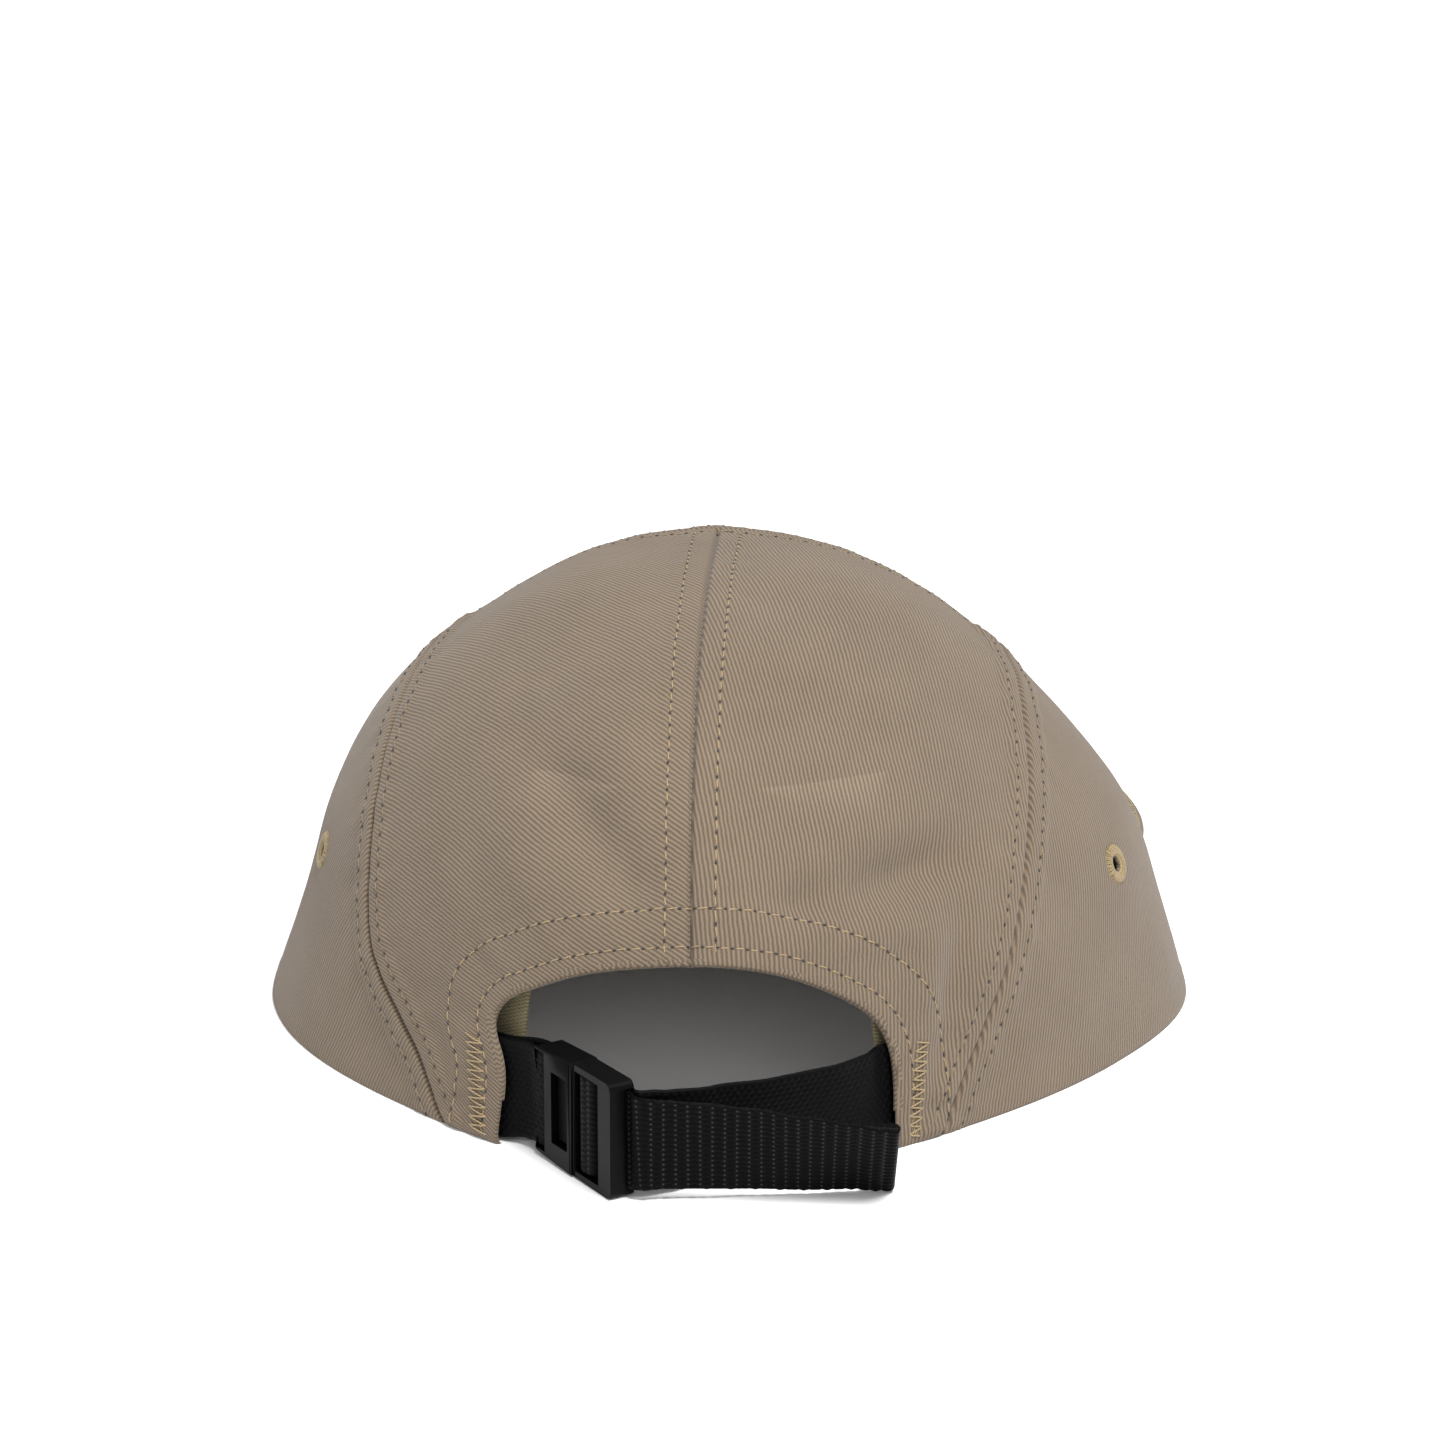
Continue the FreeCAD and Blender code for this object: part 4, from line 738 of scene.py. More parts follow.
def rib_web(name):
    """Black ribbed webbing: rows of yarn across the strap, with brighter dashes at every other row's edge that are
    painted highlights.
    """
    m, nt, b = mat_new(name)
    uv, u, v = coords(nt)
    c = math_node(nt, "ABSOLUTE", math_node(nt, "COSINE", math_node(nt, "MULTIPLY", u, math.pi / 2.35)))
    edge = math_node(nt, "POWER", c, 9.0)
    highlight_dash = math_node(nt, "ADD", math_node(nt, "MULTIPLY", math_node(nt, "SINE", math_node(nt, "MULTIPLY", v, 2 * math.pi / 1.12)), 0.5), 0.5)
    yarn = math_node(nt, "SINE", math_node(nt, "ADD", math_node(nt, "MULTIPLY", v, 17.0), math_node(nt, "MULTIPLY", u, 9.0)))
    fine = noise(nt, uv, 3.5, 4)
    h = math_node(nt, "ADD", math_node(nt, "MULTIPLY", yarn, 0.2), math_node(nt, "MULTIPLY", fine, 0.6))
    t = math_node(nt, "ADD", math_node(nt, "MULTIPLY", math_node(nt, "MULTIPLY", edge, highlight_dash), 0.75), math_node(nt, "MULTIPLY", h, 0.35))
    # the light grey top of this ramp, reached on the dashes, is painted highlight on the black yarn
    nt.links.new(ramp(nt, t, [(0.05, lin((2, 2, 3))), (0.5, lin((9, 9, 11))), (1.0, lin((66, 66, 72)))]), b.inputs["Base Color"])
    b.inputs["Roughness"].default_value = 0.5
    b.inputs["Specular IOR Level"].default_value = 0.06
    bump = node(nt, "ShaderNodeBump")
    bump.inputs["Strength"].default_value = 0.8
    bump.inputs["Distance"].default_value = 0.0001
    nt.links.new(h, bump.inputs["Height"])
    nt.links.new(bump.outputs[0], b.inputs["Normal"])
    return m


WEB_RIB = rib_web("webbing_ribbed_painted_highlight")
PLAST = plastic("buckle_plastic", (5, 5, 6), 0.4, 2600, 0.22)
PADM = plastic("latch_pad_plastic", (7, 7, 8), 0.6, 1500, 0.9)

# ------------------------------------------------------------------ crown panels
PT = 0.95


def finish_panel(name, g, mat, cut=False, holes=()):
    nu, nv = g.shape[:2]
    uv = arc_uv(g).reshape(-1, 2)
    p = g.reshape(-1, 3).copy()
    q = grid_quads(nu, nv)
    k = nu // 2 * nv + nv // 2
    if np.dot(np.cross(p[k + nv] - p[k], p[k + 1] - p[k]), normal(p[k:k + 1])[0]) < 0:
        q = q[:, ::-1]
    tris = np.zeros((0, 3), int)

    def trim(dist, p, q, tris, uv, place):
        """Cuts the sheet along the zero line of dist, snapping its nearest points on to that line."""
        sgn = np.where(dist > 0, 1, -1)
        e = np.concatenate([q[:, [0, 1]], q[:, [1, 2]], q[:, [2, 3]], q[:, [3, 0]]])
        e = np.unique(np.sort(e, axis=1), axis=0)
        e = e[sgn[e[:, 0]] != sgn[e[:, 1]]]
        d0, d1 = np.abs(dist[e[:, 0]]), np.abs(dist[e[:, 1]])
        t = d0 / np.maximum(d0 + d1, 1e-9)
        near = np.where(t < 0.5, e[:, 0], e[:, 1])
        cross_p = p[e[:, 0]] + (p[e[:, 1]] - p[e[:, 0]]) * t[:, None]
        cross_u = uv[e[:, 0]] + (uv[e[:, 1]] - uv[e[:, 0]]) * t[:, None]
        acc, accu, cnt = np.zeros_like(p), np.zeros_like(uv), np.zeros(len(p))
        np.add.at(acc, near, cross_p)
        np.add.at(accu, near, cross_u)
        np.add.at(cnt, near, 1)
        on = cnt > 0
        p[on] = acc[on] / cnt[on][:, None]
        uv[on] = accu[on] / cnt[on][:, None]
        p[on] = place(p[on])
        state = sgn.copy()
        state[on] = 0
        qs = state[q]
        keep = (qs >= 0).all(1) & ((qs > 0).any(1))
        mixed = (qs > 0).any(1) & (qs < 0).any(1)
        extra = []
        for f, s in zip(q[mixed], qs[mixed]):
            for a in range(4):
                tri = [f[a], f[(a + 1) % 4], f[(a + 2) % 4]]
                st = [s[a], s[(a + 1) % 4], s[(a + 2) % 4]]
                if min(st) >= 0 and max(st) > 0 and s[(a + 3) % 4] < 0 and st[0] == 0 and st[2] == 0:
                    extra.append(tri)
        if len(tris):
            ts = state[tris]
            tris = tris[(ts >= 0).all(1) & (ts > 0).any(1)]
        tris = np.concatenate([tris, np.array(extra, int).reshape(-1, 3)])
        return p, q[keep], tris, uv

    if cut:
        d = np.full(len(p), 50.0)
        r = (p[:, 1] < -40) & (p[:, 2] < 60)
        d[r] = arch_distance(p[r, 0], p[r, 2])

        def place(x):
            z = np.clip(x[:, 2], 0, None)
            return np.where((x[:, 2] < 0.05)[:, None], x, rear_at(x[:, 0], z))
        p, q, tris, uv = trim(d, p, q, tris, uv, place)
    for c, rad in holes:
        d = np.linalg.norm(p - c, axis=1) - rad
        p, q, tris, uv = trim(d, p, q, tris, uv, onto)
    n = level_normal(p)
    out = p + n * relief(p)[:, None]
    return shell(name, out, n, PT, q, tris, uv, mat, 0.4)


def fine(n, lo=0.0, hi=1.0, pack=0.0):
    """Even parameters with extra rows by both ends."""
    t = np.linspace(0, 1, n)
    e = np.array([0.12, 0.3, 0.55]) / n
    t = np.sort(np.unique(np.concatenate([t, e, 1 - e])))
    return lo + (hi - lo) * t


LO, HI_ = 0.0021, 0.9979
EYELETS = [(82.0, -19.6, 36.2), (84.6, 15.5, 35.8), (-85.5, -19.0, 36.0), (-84.9, 15.5, 35.6)]
eye_c = [onto(np.array([e]))[0] for e in EYELETS]

g_tr = grid(rim(-90, RIM_REAR_R), cross_r, centre, rear_seam_r, fine(96, 0.004, 0.9955), fine(168, 0, 0.9965))
g_tl = grid(rim(-90, RIM_REAR_L), cross_l, centre, rear_seam_l, fine(96, 0.004, 0.9955), fine(168, 0, 0.9965))
g_f = grid(rim(RIM_FRONT_L, RIM_FRONT_R), cross_all, front_seam_l, front_seam_r, fine(128, LO, HI_), fine(104, 0, 0.9965))
CUT = 0.982


def short(f):
    return lambda t: f(np.asarray(t, float) * CUT)


def between(a, b):
    return lambda t: onto(a + (b - a) * np.asarray(t, float)[..., None])


sr, fr_, sl, fl_ = short(rear_seam_r), short(front_seam_r), short(rear_seam_l), short(front_seam_l)
g_sr = grid(rim(RIM_REAR_R, RIM_FRONT_R), between(sr(1.0), fr_(1.0)), sr, fr_, fine(150, LO, HI_), fine(96, 0, 1.0))
g_sl = grid(rim(RIM_REAR_L, RIM_FRONT_L - 360), between(sl(1.0), fl_(1.0)), sl, fl_, fine(150, LO, HI_), fine(96, 0, 1.0))

panels = {
    "top_panel_right": finish_panel("crown_top_right", g_tr, TW_TR, True),
    "top_panel_left": finish_panel("crown_top_left", g_tl, TW_TL, True),
    "front_panel": finish_panel("crown_front", g_f, TW_F),
    "side_panel_right": finish_panel("crown_side_right", g_sr, TW_SR, False, [(eye_c[0], 1.9), (eye_c[1], 1.9)]),
    "side_panel_left": finish_panel("crown_side_left", g_sl, TW_SL, False, [(eye_c[2], 1.9), (eye_c[3], 1.9)]),
}
for k, o in panels.items():
    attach(o, "crown")
    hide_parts(k)

# ------------------------------------------------------------------ stitching on the crown
thread_parts = []


def clear_arch(lo):
    return lambda c: (c[:, 1] > -40) | (arch_distance(c[:, 0], c[:, 2]) > lo)


rows = [
    ("stitch_centre_r", beside("c", centre, 4.9, 0.2, 0.985), clear_arch(1.2)),
    ("stitch_centre_l", beside("c", centre, -4.9, 0.2, 0.985), clear_arch(1.2)),
    ("stitch_rear_r_in", beside("r", rear_seam_r, 3.7, 0.01, 0.97), None),
    ("stitch_rear_r_out", beside("r", rear_seam_r, -3.7, 0.01, 0.97), None),
    ("stitch_rear_l_in", beside("l", rear_seam_l, 3.7, 0.01, 0.97), None),
    ("stitch_rear_l_out", beside("l", rear_seam_l, -3.7, 0.01, 0.97), None),
    ("stitch_front_r_a", beside("fr", front_seam_r, 3.7, 0.02, 0.95), None),
    ("stitch_front_r_b", beside("fr", front_seam_r, -3.7, 0.02, 0.95), None),
    ("stitch_front_l_a", beside("fl", front_seam_l, 3.7, 0.02, 0.95), None),
    ("stitch_front_l_b", beside("fl", front_seam_l, -3.7, 0.02, 0.95), None),
    ("stitch_cross_a", beside("x", cross_all, 3.7, 0.03, 0.97), None),
    ("stitch_cross_b", beside("x", cross_all, -3.7, 0.03, 0.97), None),
]
for name, line, keep in rows:
    thread_parts.append(sew(name, line, THREAD if "centre" in name else THREAD2, keep=keep))


def arch_line(off, lo=1.0):
    t = np.linspace(0.0, 1.0, 420)
    p = arch_f(t)[:, [0, 2]]
    g = unit(np.gradient(p, axis=0))
    q = p + np.stack([-g[:, 1], g[:, 0]], 1) * off
    # keep clear of the tight corner's overlap
    keep = (arch_distance(q[:, 0], q[:, 1]) > off - 0.25) & (q[:, 1] > lo)
    q = q[keep]
    return rear_at(q[:, 0], q[:, 1])


thread_parts.append(sew("stitch_arch_edge", arch_line(3.0), THREAD, 2.9))
thread_parts.append(sew("stitch_arch_hem", arch_line(9.5), THREAD, 2.9))

# zigzag tacks over the strap's sewn ends
tc, tt, tn, tl = [], [], [], []
for x0, x1 in ((-45.6, -41.9), (40.7, 43.3)):
    rows_n = 21
    for k in range(rows_n):
        z0, z1 = 1.4 + 18.2 * k / rows_n, 1.4 + 18.2 * (k + 1) / rows_n
        shift0 = (1.2 if x0 < 0 else 1.3) * (k / rows_n)
        s = -shift0 if x0 < 0 else shift0
        a, b = (x0, x1) if k % 2 else (x1, x0)
        pa, pb = rear_at(a + s, z0), rear_at(b + s, z1)
        c = (pa + pb) / 2
        tc.append(c)
        tt.append(pb - pa)
        tl.append(np.linalg.norm(pb - pa))
tc, tt, tl = np.array(tc), np.array(tt), np.array(tl)
tc = rear_at(tc[:, 0], tc[:, 2])
o = capsules("bar_tacks", skin(tc, 0 * tc[:, 0] + 0.05), tt, normal(tc), tl * 1.02, 0.19, THREAD, 0.2)
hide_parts("strap_bar_tacks")
thread_parts.append(o)

# embroidered eyelets: radial threads over a padded ring
ec, et, en, el = [], [], [], []
ring_v, ring_q, ring_uv = [], [], []
for c in eye_c:
    n = normal(c[None])[0]
    a = unit(np.cross([0, 0, 1.0], n))
    b = np.cross(n, a)
    lift = float(relief(c[None])[0])
    base = c + n * lift
    for k in range(64):
        w = 2 * math.pi * (k + 0.3 * RNG.uniform(-1, 1)) / 64
        d = a * math.cos(w) + b * math.sin(w)
        ec.append(base + d * 2.95 + n * 0.2)
        et.append(d)
        en.append(n)
        el.append(2.7 + 0.2 * RNG.uniform(-1, 1))
    s = len(ring_v)
    for k in range(96):
        w = 2 * math.pi * k / 96
        d = a * math.cos(w) + b * math.sin(w)
        r = 0.05 * math.cos(32 * w)
        for j in range(12):
            f = 2 * math.pi * j / 12
            ring_v.append(base + d * (2.95 + (1.1 + r) * math.cos(f)) + n * (-0.3 + (0.55 + r) * math.sin(f)))
            ring_uv.append((k * 0.2, j * 0.3))
    for k in range(96):
        for j in range(12):
            ring_q.append([s + k * 12 + j, s + (k + 1) % 96 * 12 + j, s + (k + 1) % 96 * 12 + (j + 1) % 12, s + k * 12 + (j + 1) % 12])
o = capsules("eyelet_threads", ec, et, en, np.array(el), 0.19, EYE, 0.42)
thread_parts.append(o)
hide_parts("embroidered_eyelets")
thread_parts.append(make("eyelet_padding", ring_v, ring_q, None, ring_uv, EYE))
for o in thread_parts:
    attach(o, "crown")


# ------------------------------------------------------------------ inside of the crown
def inner_tape(name, f, t0, t1, n, node_name):
    t = np.linspace(t0, t1, n)
    p = f(t)
    g = unit(np.gradient(p, axis=0))
    s = unit(np.cross(normal(p), g))
    ks = np.linspace(-6.5, 6.5, 15)
    grid_p = onto(p[:, None] + s[:, None] * ks[None, :, None])
    q = grid_p - level_normal(grid_p) * (PT + 0.15 - relief(grid_p))[..., None]
    o = cloth_sheet(name, q, 0.4, BIND, level_normal(grid_p))
    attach(o, "crown")
    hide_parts(node_name)
    edge = []
    for off in (-5.4, 5.4):
        line = onto(p + s * off)
        c, d = walk(line, 3.1)
        c = onto(c)
        nn = level_normal(c)
        edge.append((c - nn * (PT + 0.15 + 0.42 - relief(c))[:, None], d, -nn))
    o2 = capsules(name + "_stitches", np.concatenate([e[0] for e in edge]), np.concatenate([e[1] for e in edge]),
                  np.concatenate([e[2] for e in edge]), 2.6, 0.18, THREAD, 0.25)
    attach(o2, "crown")


inner_tape("tape_centre", centre, 0.31, 0.945, 150, "centre_seam_tape")
inner_tape("tape_rear_right", rear_seam_r, 0.07, 0.93, 120, "rear_seam_tape_right")
inner_tape("tape_rear_left", rear_seam_l, 0.07, 0.93, 120, "rear_seam_tape_left")
inner_tape("tape_front_right", front_seam_r, 0.04, 0.90, 90, "front_seam_tape_right")
inner_tape("tape_front_left", front_seam_l, 0.04, 0.90, 90, "front_seam_tape_left")
inner_tape("tape_cross", cross_all, 0.03, 0.97, 120, "crown_seam_tape")

# small squares of the same tape behind the two corners where the seams meet
for name, c in (("corner_patch_right", rr[-1]), ("corner_patch_left", rl[-1])):
    n = normal(c[None])[0]
    a = unit(np.cross([0, 1.0, 0], n))
    b = np.cross(n, a)
    w = np.linspace(-7.5, 7.5, 31)
    X, Y = np.meshgrid(w, w, indexing="ij")
    gp = onto(c + a * X[..., None] + b * Y[..., None])
    o = cloth_sheet(name, gp - level_normal(gp) * (PT + 0.85 - 0.4 * relief(gp))[..., None], 0.35, BIND, level_normal(gp))
    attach(o, "crown")

gb = grid(rim(RIM_FRONT_L, RIM_FRONT_R), cross_all, front_seam_l, front_seam_r, np.linspace(0.09, 0.91, 90), np.linspace(0.035, 0.87, 70))
o = cloth_sheet("buckram", gb - level_normal(gb) * (PT + 0.2 - relief(gb))[..., None], 0.7, BUCK, level_normal(gb))
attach(o, "crown")
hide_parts("front_buckram")

# hem of the arch: rolled over the edge and laid flat on the inside
t = np.linspace(0.085, 0.925, 330)
ap = arch_f(t)[:, [0, 2]]
ag = unit(np.gradient(ap, axis=0))
an = np.stack([-ag[:, 1], ag[:, 0]], 1)
ks = np.array([1.3, 0.8, 0.35, 0.0, -0.28, -0.42, -0.42, -0.22, 0.2, 0.8, 1.8, 3.2, 4.8, 6.4, 7.8, 8.8])
ds = np.array([0.10, 0.03, 0.03, 0.12, 0.33, 0.62, 1.05, 1.42, 1.62, 1.7, 1.7, 1.7, 1.7, 1.7, 1.7, 1.72])
pt = np.array([rear_at(ap[:, 0] + an[:, 0] * k, np.clip(ap[:, 1] + an[:, 1] * k, 0.02, None)) for k in ks]).transpose(1, 0, 2)
nn = level_normal(pt)
rel = relief(rear_at(ap[:, 0] + an[:, 0] * 1.3, np.clip(ap[:, 1] + an[:, 1] * 1.3, 0.02, None)))
scal = 0.05 * np.sin(np.arange(len(t)) * 0.55)
q = pt + nn * (rel[:, None] - ds[None] + 0.03 + scal[:, None] * 0)[..., None]
dirn = np.gradient(q, axis=1)
hn = unit(np.cross(np.gradient(q, axis=0), dirn))
if (hn[150, 1] * nn[150, 1]).sum() < 0:
    hn = -hn
uvh = np.stack([np.repeat((t * 150)[:, None], len(ks), 1), np.repeat(np.concatenate([[0], np.cumsum(np.hypot(np.diff(ks), np.diff(ds)))])[None], len(t), 0)], -1)
o = cloth_sheet("arch_hem", q, 0.3, TW_HEM, hn, uvh)
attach(o, "crown")
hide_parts("arch_facing")

# sweatband
BAND0, BAND1 = -66.2, 246.6
tb = np.linspace(BAND0, BAND1, 560)
zb = np.concatenate([[0.0, 0.25, 0.7], np.linspace(1.6, 31.4, 30), [32.3, 32.75, 33.0]])
s0 = smooth((tb - BAND0 - 5) / 16.0, 0, 1)
s1 = smooth((BAND1 - tb - 6) / 16.0, 0, 1)
depth = 2.2 + 1.1 * (1 - s0) + 2.8 * (1 - s1)
pb = at(tb[:, None] + 0 * zb[None], (zb / HIGH)[None] + 0 * tb[:, None])
nb_ = normal(at(tb[:, None] + 0 * zb[None], np.maximum(zb, 0.5)[None] / HIGH + 0 * tb[:, None]))
mb = unit(nb_ * np.array([1, 1, 0.0]))
wavy = 0.25 * np.sin(tb * 0.9)[:, None] * smooth(zb, 5, 30)[None] + 0.14 * np.sin(tb * 2.3 + 1)[:, None] * smooth(zb, 12, 33)[None]
fold = np.concatenate([[0.5, 0.2, 0.05], np.zeros(30), [0.05, 0.2, 0.5]])
pb = pb - mb * (depth[:, None] + 0.12 + wavy * 0.5 + 0.15 + fold[None] * 0.5)[..., None]
uvb = np.stack([np.repeat((np.radians(tb) * 95)[:, None], len(zb), 1), np.repeat(zb[None], len(tb), 0)], -1)
o = cloth_sheet("sweatband_cloth", pb, 1.0, BAND, mb, uvb)
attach(o, "crown")
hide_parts("sweatband")
sb = []
for zz in (2.4, 30.6):
    k = int(np.argmin(abs(zb - zz)))
    line = pb[6:-6, k] - mb[6:-6, k] * 1.0
    c, d = walk(line, 3.1)
    idx = np.linspace(6, len(tb) - 7, len(c)).astype(int)
    sb.append((c, d, -mb[idx, k]))
o = capsules("sweatband_stitches", np.concatenate([s[0] for s in sb]), np.concatenate([s[1] for s in sb]), np.concatenate([s[2] for s in sb]),
             2.6, 0.18, THREAD, 0.25)
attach(o, "crown")

# ------------------------------------------------------------------ webbing
UA = math.radians(-55.0)
U = np.array([math.cos(UA), math.sin(UA), 0.0])
N = np.array([math.sin(UA), -math.cos(UA), 0.0])
A = np.array([-29.5, -93.8, 0.0])
WT, WW, BZ = 1.3, 20.0, 12.0
half = WT / 2


def local(s, m):
    return A + U * s + N * m


def P2(x, y):
    return np.array([x, y, 0.0])


def under(turn, depth, z=10.0):
    p = at(turn, z / HIGH)
    n = normal(p[None])[0]
    m = unit(np.array([n[0], n[1], 0]))
    q = p - m * depth
    q[2] = 0
    return q


def ribbon(name, points, levels, leans, halves, step, style):
    pts = np.array(points, float)
    path = through(pts, False)
    ts = np.concatenate([[0], np.cumsum(np.linalg.norm(np.diff(pts, axis=0), axis=1))])
    total = ts[-1]
    ts /= total
    n = int(total / step)
    t = np.linspace(0, 1, n)

    def lerp(vals):
        vals = np.array(vals, float)
        i = np.clip(np.searchsorted(ts, t) - 1, 0, len(ts) - 2)
        k = np.clip((t - ts[i]) / (ts[i + 1] - ts[i]), 0, 1)
        k = k * k * (3 - 2 * k)
        return vals[i] + (vals[i + 1] - vals[i]) * k
    p = path(t)
    p[:, 2] = lerp(levels)
    g = path(np.minimum(t + 0.002, 1)) - path(np.maximum(t - 0.002, 0))
    g[:, 2] = 0
    g = unit(g)
    out = np.stack([g[:, 1], -g[:, 0], 0 * t], 1)
    lean = np.radians(lerp(leans))[:, None]
    across = np.array([0, 0, 1.0]) * np.cos(lean) + out * np.sin(lean)
    nn = out * np.cos(lean) - np.array([0, 0, 1.0]) * np.sin(lean)
    h = lerp(halves)
    arc = np.concatenate([[0], np.cumsum(np.linalg.norm(np.diff(p, axis=0), axis=1))])
    m = int(WW / 0.27)
    y = np.linspace(-1, 1, m) * WW / 2
    # rounded edges
    edge = np.sqrt(np.clip(1 - (np.clip(np.abs(y) - (WW / 2 - 0.6), 0, 0.6) / 0.6) ** 2, 0, 1))
    S, Y = np.meshgrid(arc, y, indexing="ij")
    if style == "rib":
        col = S / 2.35
        kind = np.floor(col) % 2
        x = (col - np.floor(col)) * 2 - 1
        ridge = np.abs(np.cos(math.pi * x / 2)) ** 0.7
        bump = 0.5 + 0.5 * np.sin(2 * math.pi * (Y / 1.12 + np.abs(x) * 0.38 + 0.5 * kind))
        w = 0.44 * ridge * (0.3 + 0.7 * bump) - 0.33
    else:
        c1 = np.cos(math.pi * S / 0.78) * np.sign(np.cos(math.pi * Y / 1.12))
        w = 0.3 * np.abs(np.cos(math.pi * Y / 1.12)) ** 0.6 * (0.3 + 0.7 * (0.5 + 0.5 * c1)) - 0.22
    ends = np.clip(np.minimum(np.arange(n), n - 1 - np.arange(n)) * step / 0.5, 0, 1)
    endr = np.sqrt(1 - (1 - ends) ** 2) * 0.65 + 0.35
    hh = h[:, None] * (0.15 + 0.85 * edge[None]) * endr[:, None]
    sway = 0.0
    a = p[:, None] + across[:, None] * Y[..., None] + nn[:, None] * (hh + w * edge[None])[..., None]
    b = p[:, None] + across[:, None] * Y[..., None] - nn[:, None] * (hh + w * edge[None])[..., None]
    ring = np.concatenate([a, b[:, ::-1]], 1)
    R = 2 * m
    i, j = np.meshgrid(np.arange(n - 1), np.arange(R), indexing="ij")
    q = np.stack([i * R + j, (i + 1) * R + j, (i + 1) * R + (j + 1) % R, i * R + (j + 1) % R], -1).reshape(-1, 4)
    k = np.arange(m - 1)
    cap0 = np.stack([k, k + 1, R - 2 - k, R - 1 - k], 1)
    cap1 = cap0[:, ::-1] + (n - 1) * R
    quads = np.concatenate([q, cap0, cap1])
    uvr = np.concatenate([np.stack([S, Y], -1), np.stack([S, Y], -1)[:, ::-1] + 3.3], 1).reshape(-1, 2)
    v = ring.reshape(-1, 3)
    # outward facing check by signed volume
    tri = np.concatenate([quads[:, [0, 1, 2]], quads[:, [0, 2, 3]]])
    vol = (v[tri[:, 0]] * np.cross(v[tri[:, 1]], v[tri[:, 2]])).sum()
    if vol < 0:
        quads = quads[:, ::-1]
    return make(name, v, quads, None, uvr, WEB_RIB if style == "rib" else WEB)


R0 = 1.1 + 0.13 + half
loop = [under(-121.6, 1.5 + half), under(-119.3, 1.5 + half), under(-116.9, 1.5 + half), under(-114.6, 1.5 + half),
        local(-4.2, 1.75), local(-1.6, R0 - 0.02)]
for ang in (90, 60, 30, 0, -30, -60, -90):
    loop.append(local(0.95 + R0 * math.cos(math.radians(ang)), R0 * math.sin(math.radians(ang))))
loop += [local(-1.6, -R0 + 0.02), local(-4.2, -1.45), under(-114.8, 3.05 + half), under(-116.9, 3.1 + half), under(-119.3, 3.1 + half), under(-121.3, 3.1 + half)]
loop_z = [10.3, 10.3, 10.4, 10.6, 11.6, 11.9] + [12.0] * 7 + [11.9, 11.6, 10.6, 10.4, 10.3, 10.3]
loop_lean = [-9.5, -9.5, -9.5, -9, -3, 0] + [0] * 7 + [0, 3, 9, 9.5, 9.5, 9.5]
o = ribbon("web_loop", loop, loop_z, loop_lean, [half] * len(loop), 0.3, "plain")
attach(o, "crown")
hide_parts("strap_loop_left")

load = [local(17.45, -2.05), local(19.5, -2.2), local(22.0, -2.75), local(24.5, -2.95), local(27.2, -2.95), local(28.8, -2.95),
        P2(-7.9, -115.3), P2(-4.5, -114.2), P2(3.0, -109.5), P2(14.0, -102.5), P2(25.0, -95.6), P2(32.6, -90.0),
        under(-66.6, 1.75 + half), under(-63.4, 1.6 + half), under(-60.8, 1.6 + half)]
load_z = [12.0, 12.0, 12.0, 12.0, 12.0, 12.0, 11.9, 11.8, 11.3, 10.6, 10.4, 10.35, 10.3, 10.3, 10.3]
load_lean = [0, 0, 0, 0, 0, 0, 0, 3, 8, 10, 8, 0, -9, -11.5, -11.5]
o = ribbon("web_load", load, load_z, load_lean, [half] * len(load), 0.26, "plain")
web_load = o
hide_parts("strap_load")

R1 = 1.0 + 0.15 + half
b0, b1 = 16.85, 19.75
tail = [local(b0 + 0.3, -R1), local(b0 - 0.35, -R1 * 0.93), local(b0 - 0.85, -0.95), local(b0 - 0.97, 0.0),
        local(b0 - 0.85, 0.95), local(b0 - 0.35, R1 * 0.93), local(b0 + 0.5, R1), local(b1 - 0.6, R1),
        local(b1 + 0.9, R1 - 0.6), local(b1 + 1.5, -0.2), local(b1 + 2.6, -1.3),
        local(25.0, -1.42), local(27.6, -1.45), local(28.9, -1.5), P2(-9.7, -118.5), P2(-5.5, -118.7), P2(2.0, -118.3), P2(12.0, -117.6),
        P2(22.0, -117.2), P2(31.0, -116.4), P2(36.0, -115.9), P2(39.6, -115.5)]
tail_z = [12.0] * 14 + [12.0, 12.0, 11.8, 11.2, 10.3, 9.6, 9.3, 9.2]
tail_lean = [0] * 14 + [5, 10, 13, 18, 24, 30, 32, 33]
tail_half = [half] * 19 + [half * 1.05, half * 1.9, half * 2.0]
web_tail = ribbon("web_tail", tail, tail_z, tail_lean, tail_half, 0.26, "rib")
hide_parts("strap_tail")


